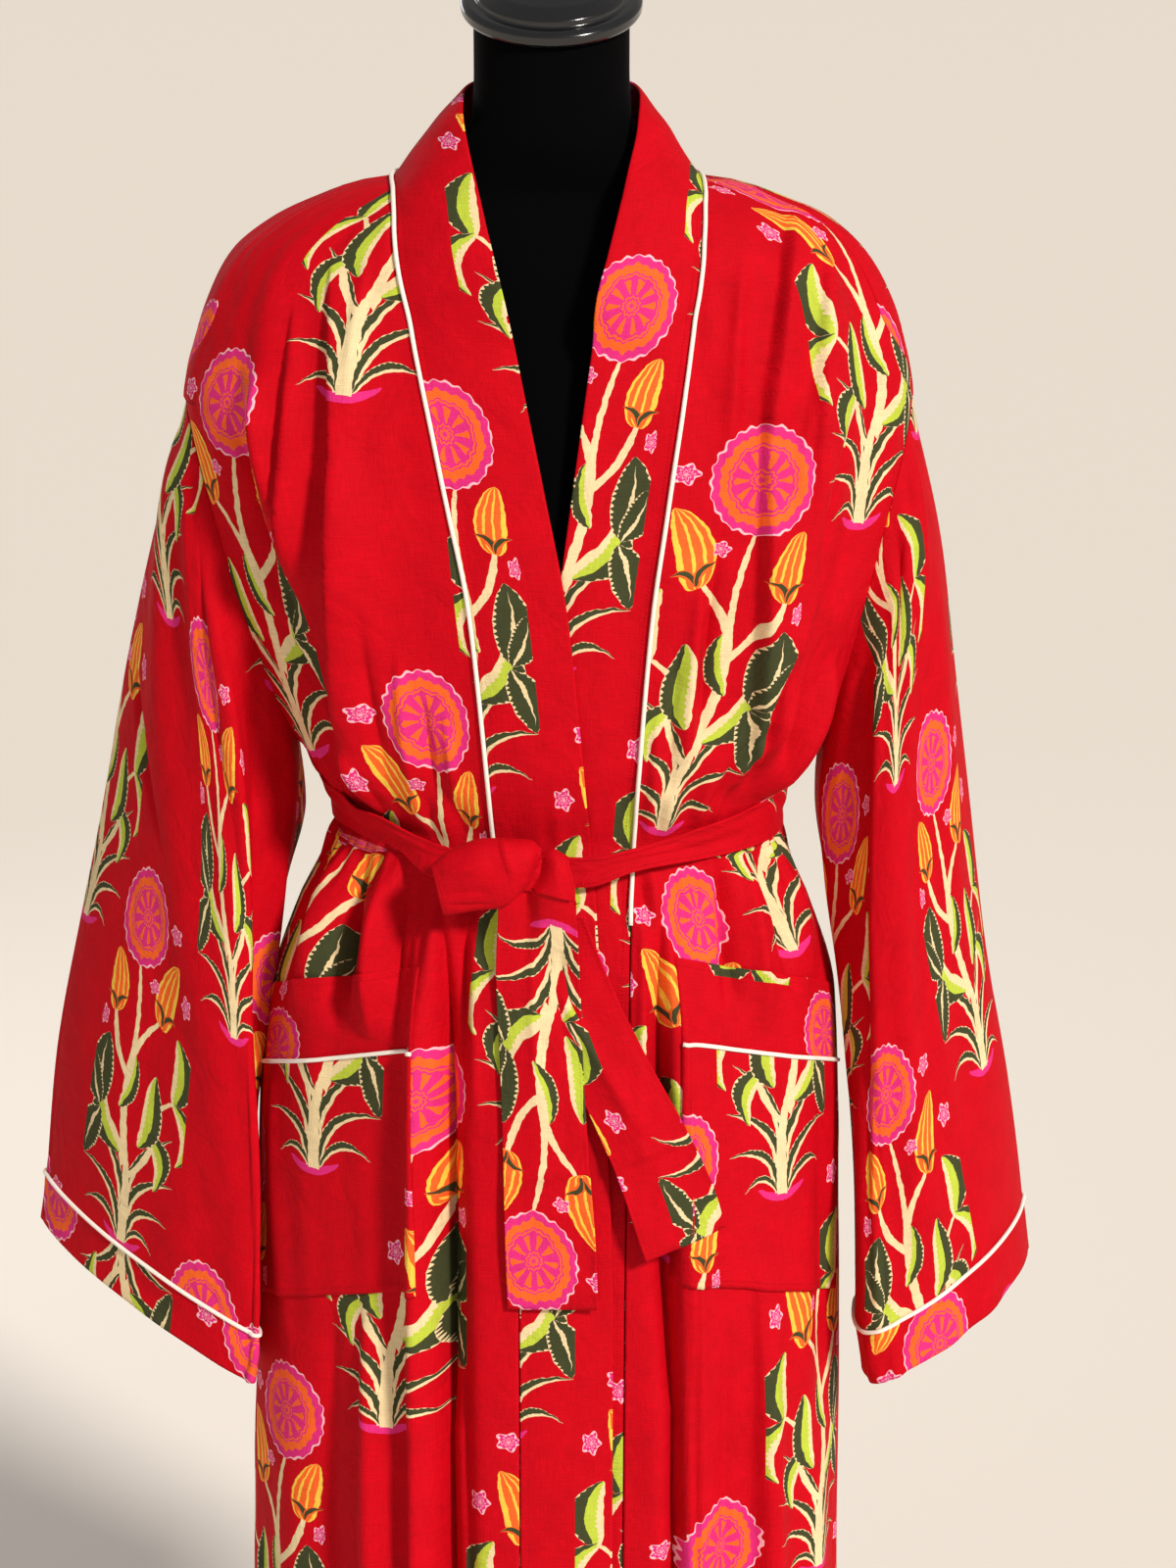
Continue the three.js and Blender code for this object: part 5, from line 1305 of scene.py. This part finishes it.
def rounded(profile, radius):
    """A profile with each corner cut to a short arc: two points beside it and three on the bend."""
    points = np.array(profile, float)
    result = [points[0]]
    for before, corner, after in zip(points, points[1:], points[2:]):
        a, b = before - corner, after - corner
        cut_a = min(radius, np.linalg.norm(a) * 0.45) / np.linalg.norm(a)
        cut_b = min(radius, np.linalg.norm(b) * 0.45) / np.linalg.norm(b)
        start_, stop = corner + a * cut_a, corner + b * cut_b
        result += [start_ + a * cut_a * 0.3, *[(1 - f) ** 2 * start_ + 2 * f * (1 - f) * corner + f * f * stop
                                               for f in (0, 0.25, 0.5, 0.75, 1)], stop + b * cut_b * 0.3]
    return np.array(result + [points[-1]])


def lathe(name, profile, height, material, tilt=0.0, radius=1.2, sides=128):
    """Turn a profile of (radius, height) in mm about Z, then tilt it about X."""
    line = rounded(profile, radius) * MM
    line = line[line[:, 0] > 1e-6]
    angle = 2 * np.pi * np.arange(sides) / sides
    x, y = line[:, :1] * np.cos(angle), line[:, :1] * np.sin(angle)
    z = np.broadcast_to(line[:, 1:], x.shape)
    y, z = y * math.cos(tilt) - z * math.sin(tilt), y * math.sin(tilt) + z * math.cos(tilt)
    spots = np.stack([x, y, z + height], -1)
    turned_piece(name, spots, spots - np.array([0, 0, height + line[:, 1].mean()]), material)


CAP = [(0, 0), (58, 0), (60, 2.5), (60, 8), (57, 10.5), (51, 11), (50, 15), (40, 20), (22, 24), (0, 25)]
BASE = [(0, 0), (186, 0), (190, 4), (190, 9), (184, 13), (60, 22), (26, 34), (24, 52), (0, 52)]
lathe("form_neck_cap", CAP, 1556 * MM + SEAM / math.cos(NECK_TILT), gloss, NECK_TILT)
lathe("form_base", BASE, 0.0, metal)
lathe("form_pole", [(0, 0), (14, 0), (14, 737.4), (0, 737.4)], 52.3 * MM, metal, radius=0.6, sides=64)

# %% [markdown]
# ## Cloth facts
# Each sheet is listed with the size it was cut to and how it is held.

SHEETS = [   # piece, width and length as cut, how it is held, what it rests on, piping sewn to it
    ("back", 0.50, 1.24, "hung", "form_torso", []), ("front_right", 0.26, 1.22, "hung", "form_torso", []),
    ("front_left", 0.24, 1.22, "hung", "form_torso", [])]
for part, width, length, below in (("sleeve", 0.55, 0.38, "front"), ("cuff", 0.50, 0.036, "sleeve"),
                                   ("band", 0.064, 1.38, "front"), ("pocket", 0.165, 0.175, "front"),
                                   ("pocket_band", 0.165, 0.060, "pocket")):
    for side in SIDES:
        piping = {"cuff": [f"cuff_piping_{side}"], "pocket_band": [f"pocket_piping_{side}"],
                  "band": ["neck_piping"] if side == "right" else []}
        SHEETS.append((f"{part}_{side}", width, length, "hung", f"{below}_{side}", piping.get(part, [])))
SHEETS += [
    ("belt_round", 0.030, 0.90, "gathered", "back", []),
    ("belt_knot_wrap", 0.060, 0.095, "gathered", "belt_round", []),
    ("belt_knot_core", 0.026, 0.082, "gathered", "belt_round", []),
    ("belt_end_front", 0.058, 0.34, "hung", "belt_round", []),
    ("belt_end_under", 0.054, 0.25, "hung", "belt_round", [])]
print(len(SHEETS), "sheets declared")

# %% [markdown]
# ## Surroundings, light and camera
# A pale floor that runs far out under a pale sky stands in for a white room. A soft sun high on the
# right in front, like a big window, gives the folds their shape; a lamp behind lights the far edges.

# %% Floor
bpy.ops.mesh.primitive_plane_add(size=900, location=(0, 0, -0.001))
floor = bpy.context.object
floor.name = "floor"
floor.data.materials.append(new_material("Pale matte paint", Base_Color=srgb("#F4EEE6"), Roughness=0.95,
                                         Specular_IOR_Level=0.1))
print("floor", floor.dimensions[0], "metres wide")

# %% Light
world = bpy.context.scene.world or bpy.data.worlds.new("World")
bpy.context.scene.world = world
world.use_nodes = True
tree = world.node_tree
# the white room's glow, a little dimmer overhead
direction = add(tree, "SeparateXYZ", add(tree, "TexCoord").outputs["Generated"])
glow = set_stops(add(tree, "ValToRGB", direction.outputs[2]), [(0.0, "#FFF7EC"), (0.8, "#D0CCC8")], "LINEAR")
plug(tree.nodes["Background"].inputs["Color"], glow)
plug(tree.nodes["Background"].inputs["Strength"], 0.45)
# plain sRGB, so that the dye's red stays as deep as it is on cloth
bpy.context.scene.view_settings.view_transform = "Standard"


def lamp(name, kind, location, size, power, colour):
    """A soft lamp aimed at the robe's middle; size is metres across, or degrees of sky for a sun."""
    data = bpy.data.lights.new(name, kind)
    if kind == "SUN":
        data.angle = math.radians(size)
    else:
        data.shape, data.size = "DISK", size
    data.energy, data.color = power, srgb(colour)[:3]
    light = bpy.data.objects.new(name, data)
    bpy.context.scene.collection.objects.link(light)
    way = np.array([0, 0, 1.1]) - np.array(location)
    yaw, pitch = math.atan2(-way[0], way[1]), math.atan2(math.hypot(way[0], way[1]), -way[2])
    light.location, light.rotation_euler = location, (pitch, 0, yaw)
    print(name, kind, "aimed from", location)


lamp("window", "SUN", (2.15, -2.75, 3.4), 9, 3.3, "#FFF8EE")
lamp("behind", "AREA", (-1.8, 2.4, 2.2), 1.4, 16, "#F4F6FF")

# %% Camera
camera_data = bpy.data.cameras.new("camera")
camera_data.lens = 77.34
camera_data.sensor_width = 36
camera = bpy.data.objects.new("camera", camera_data)
bpy.context.scene.collection.objects.link(camera)
camera.location = (0.024, -2.27465, 1.59823)
camera.rotation_euler = (math.radians(76), 0, 0)
bpy.context.scene.camera = camera
print("camera", round(math.hypot(*camera.location[:2]), 2), "metres from the middle")
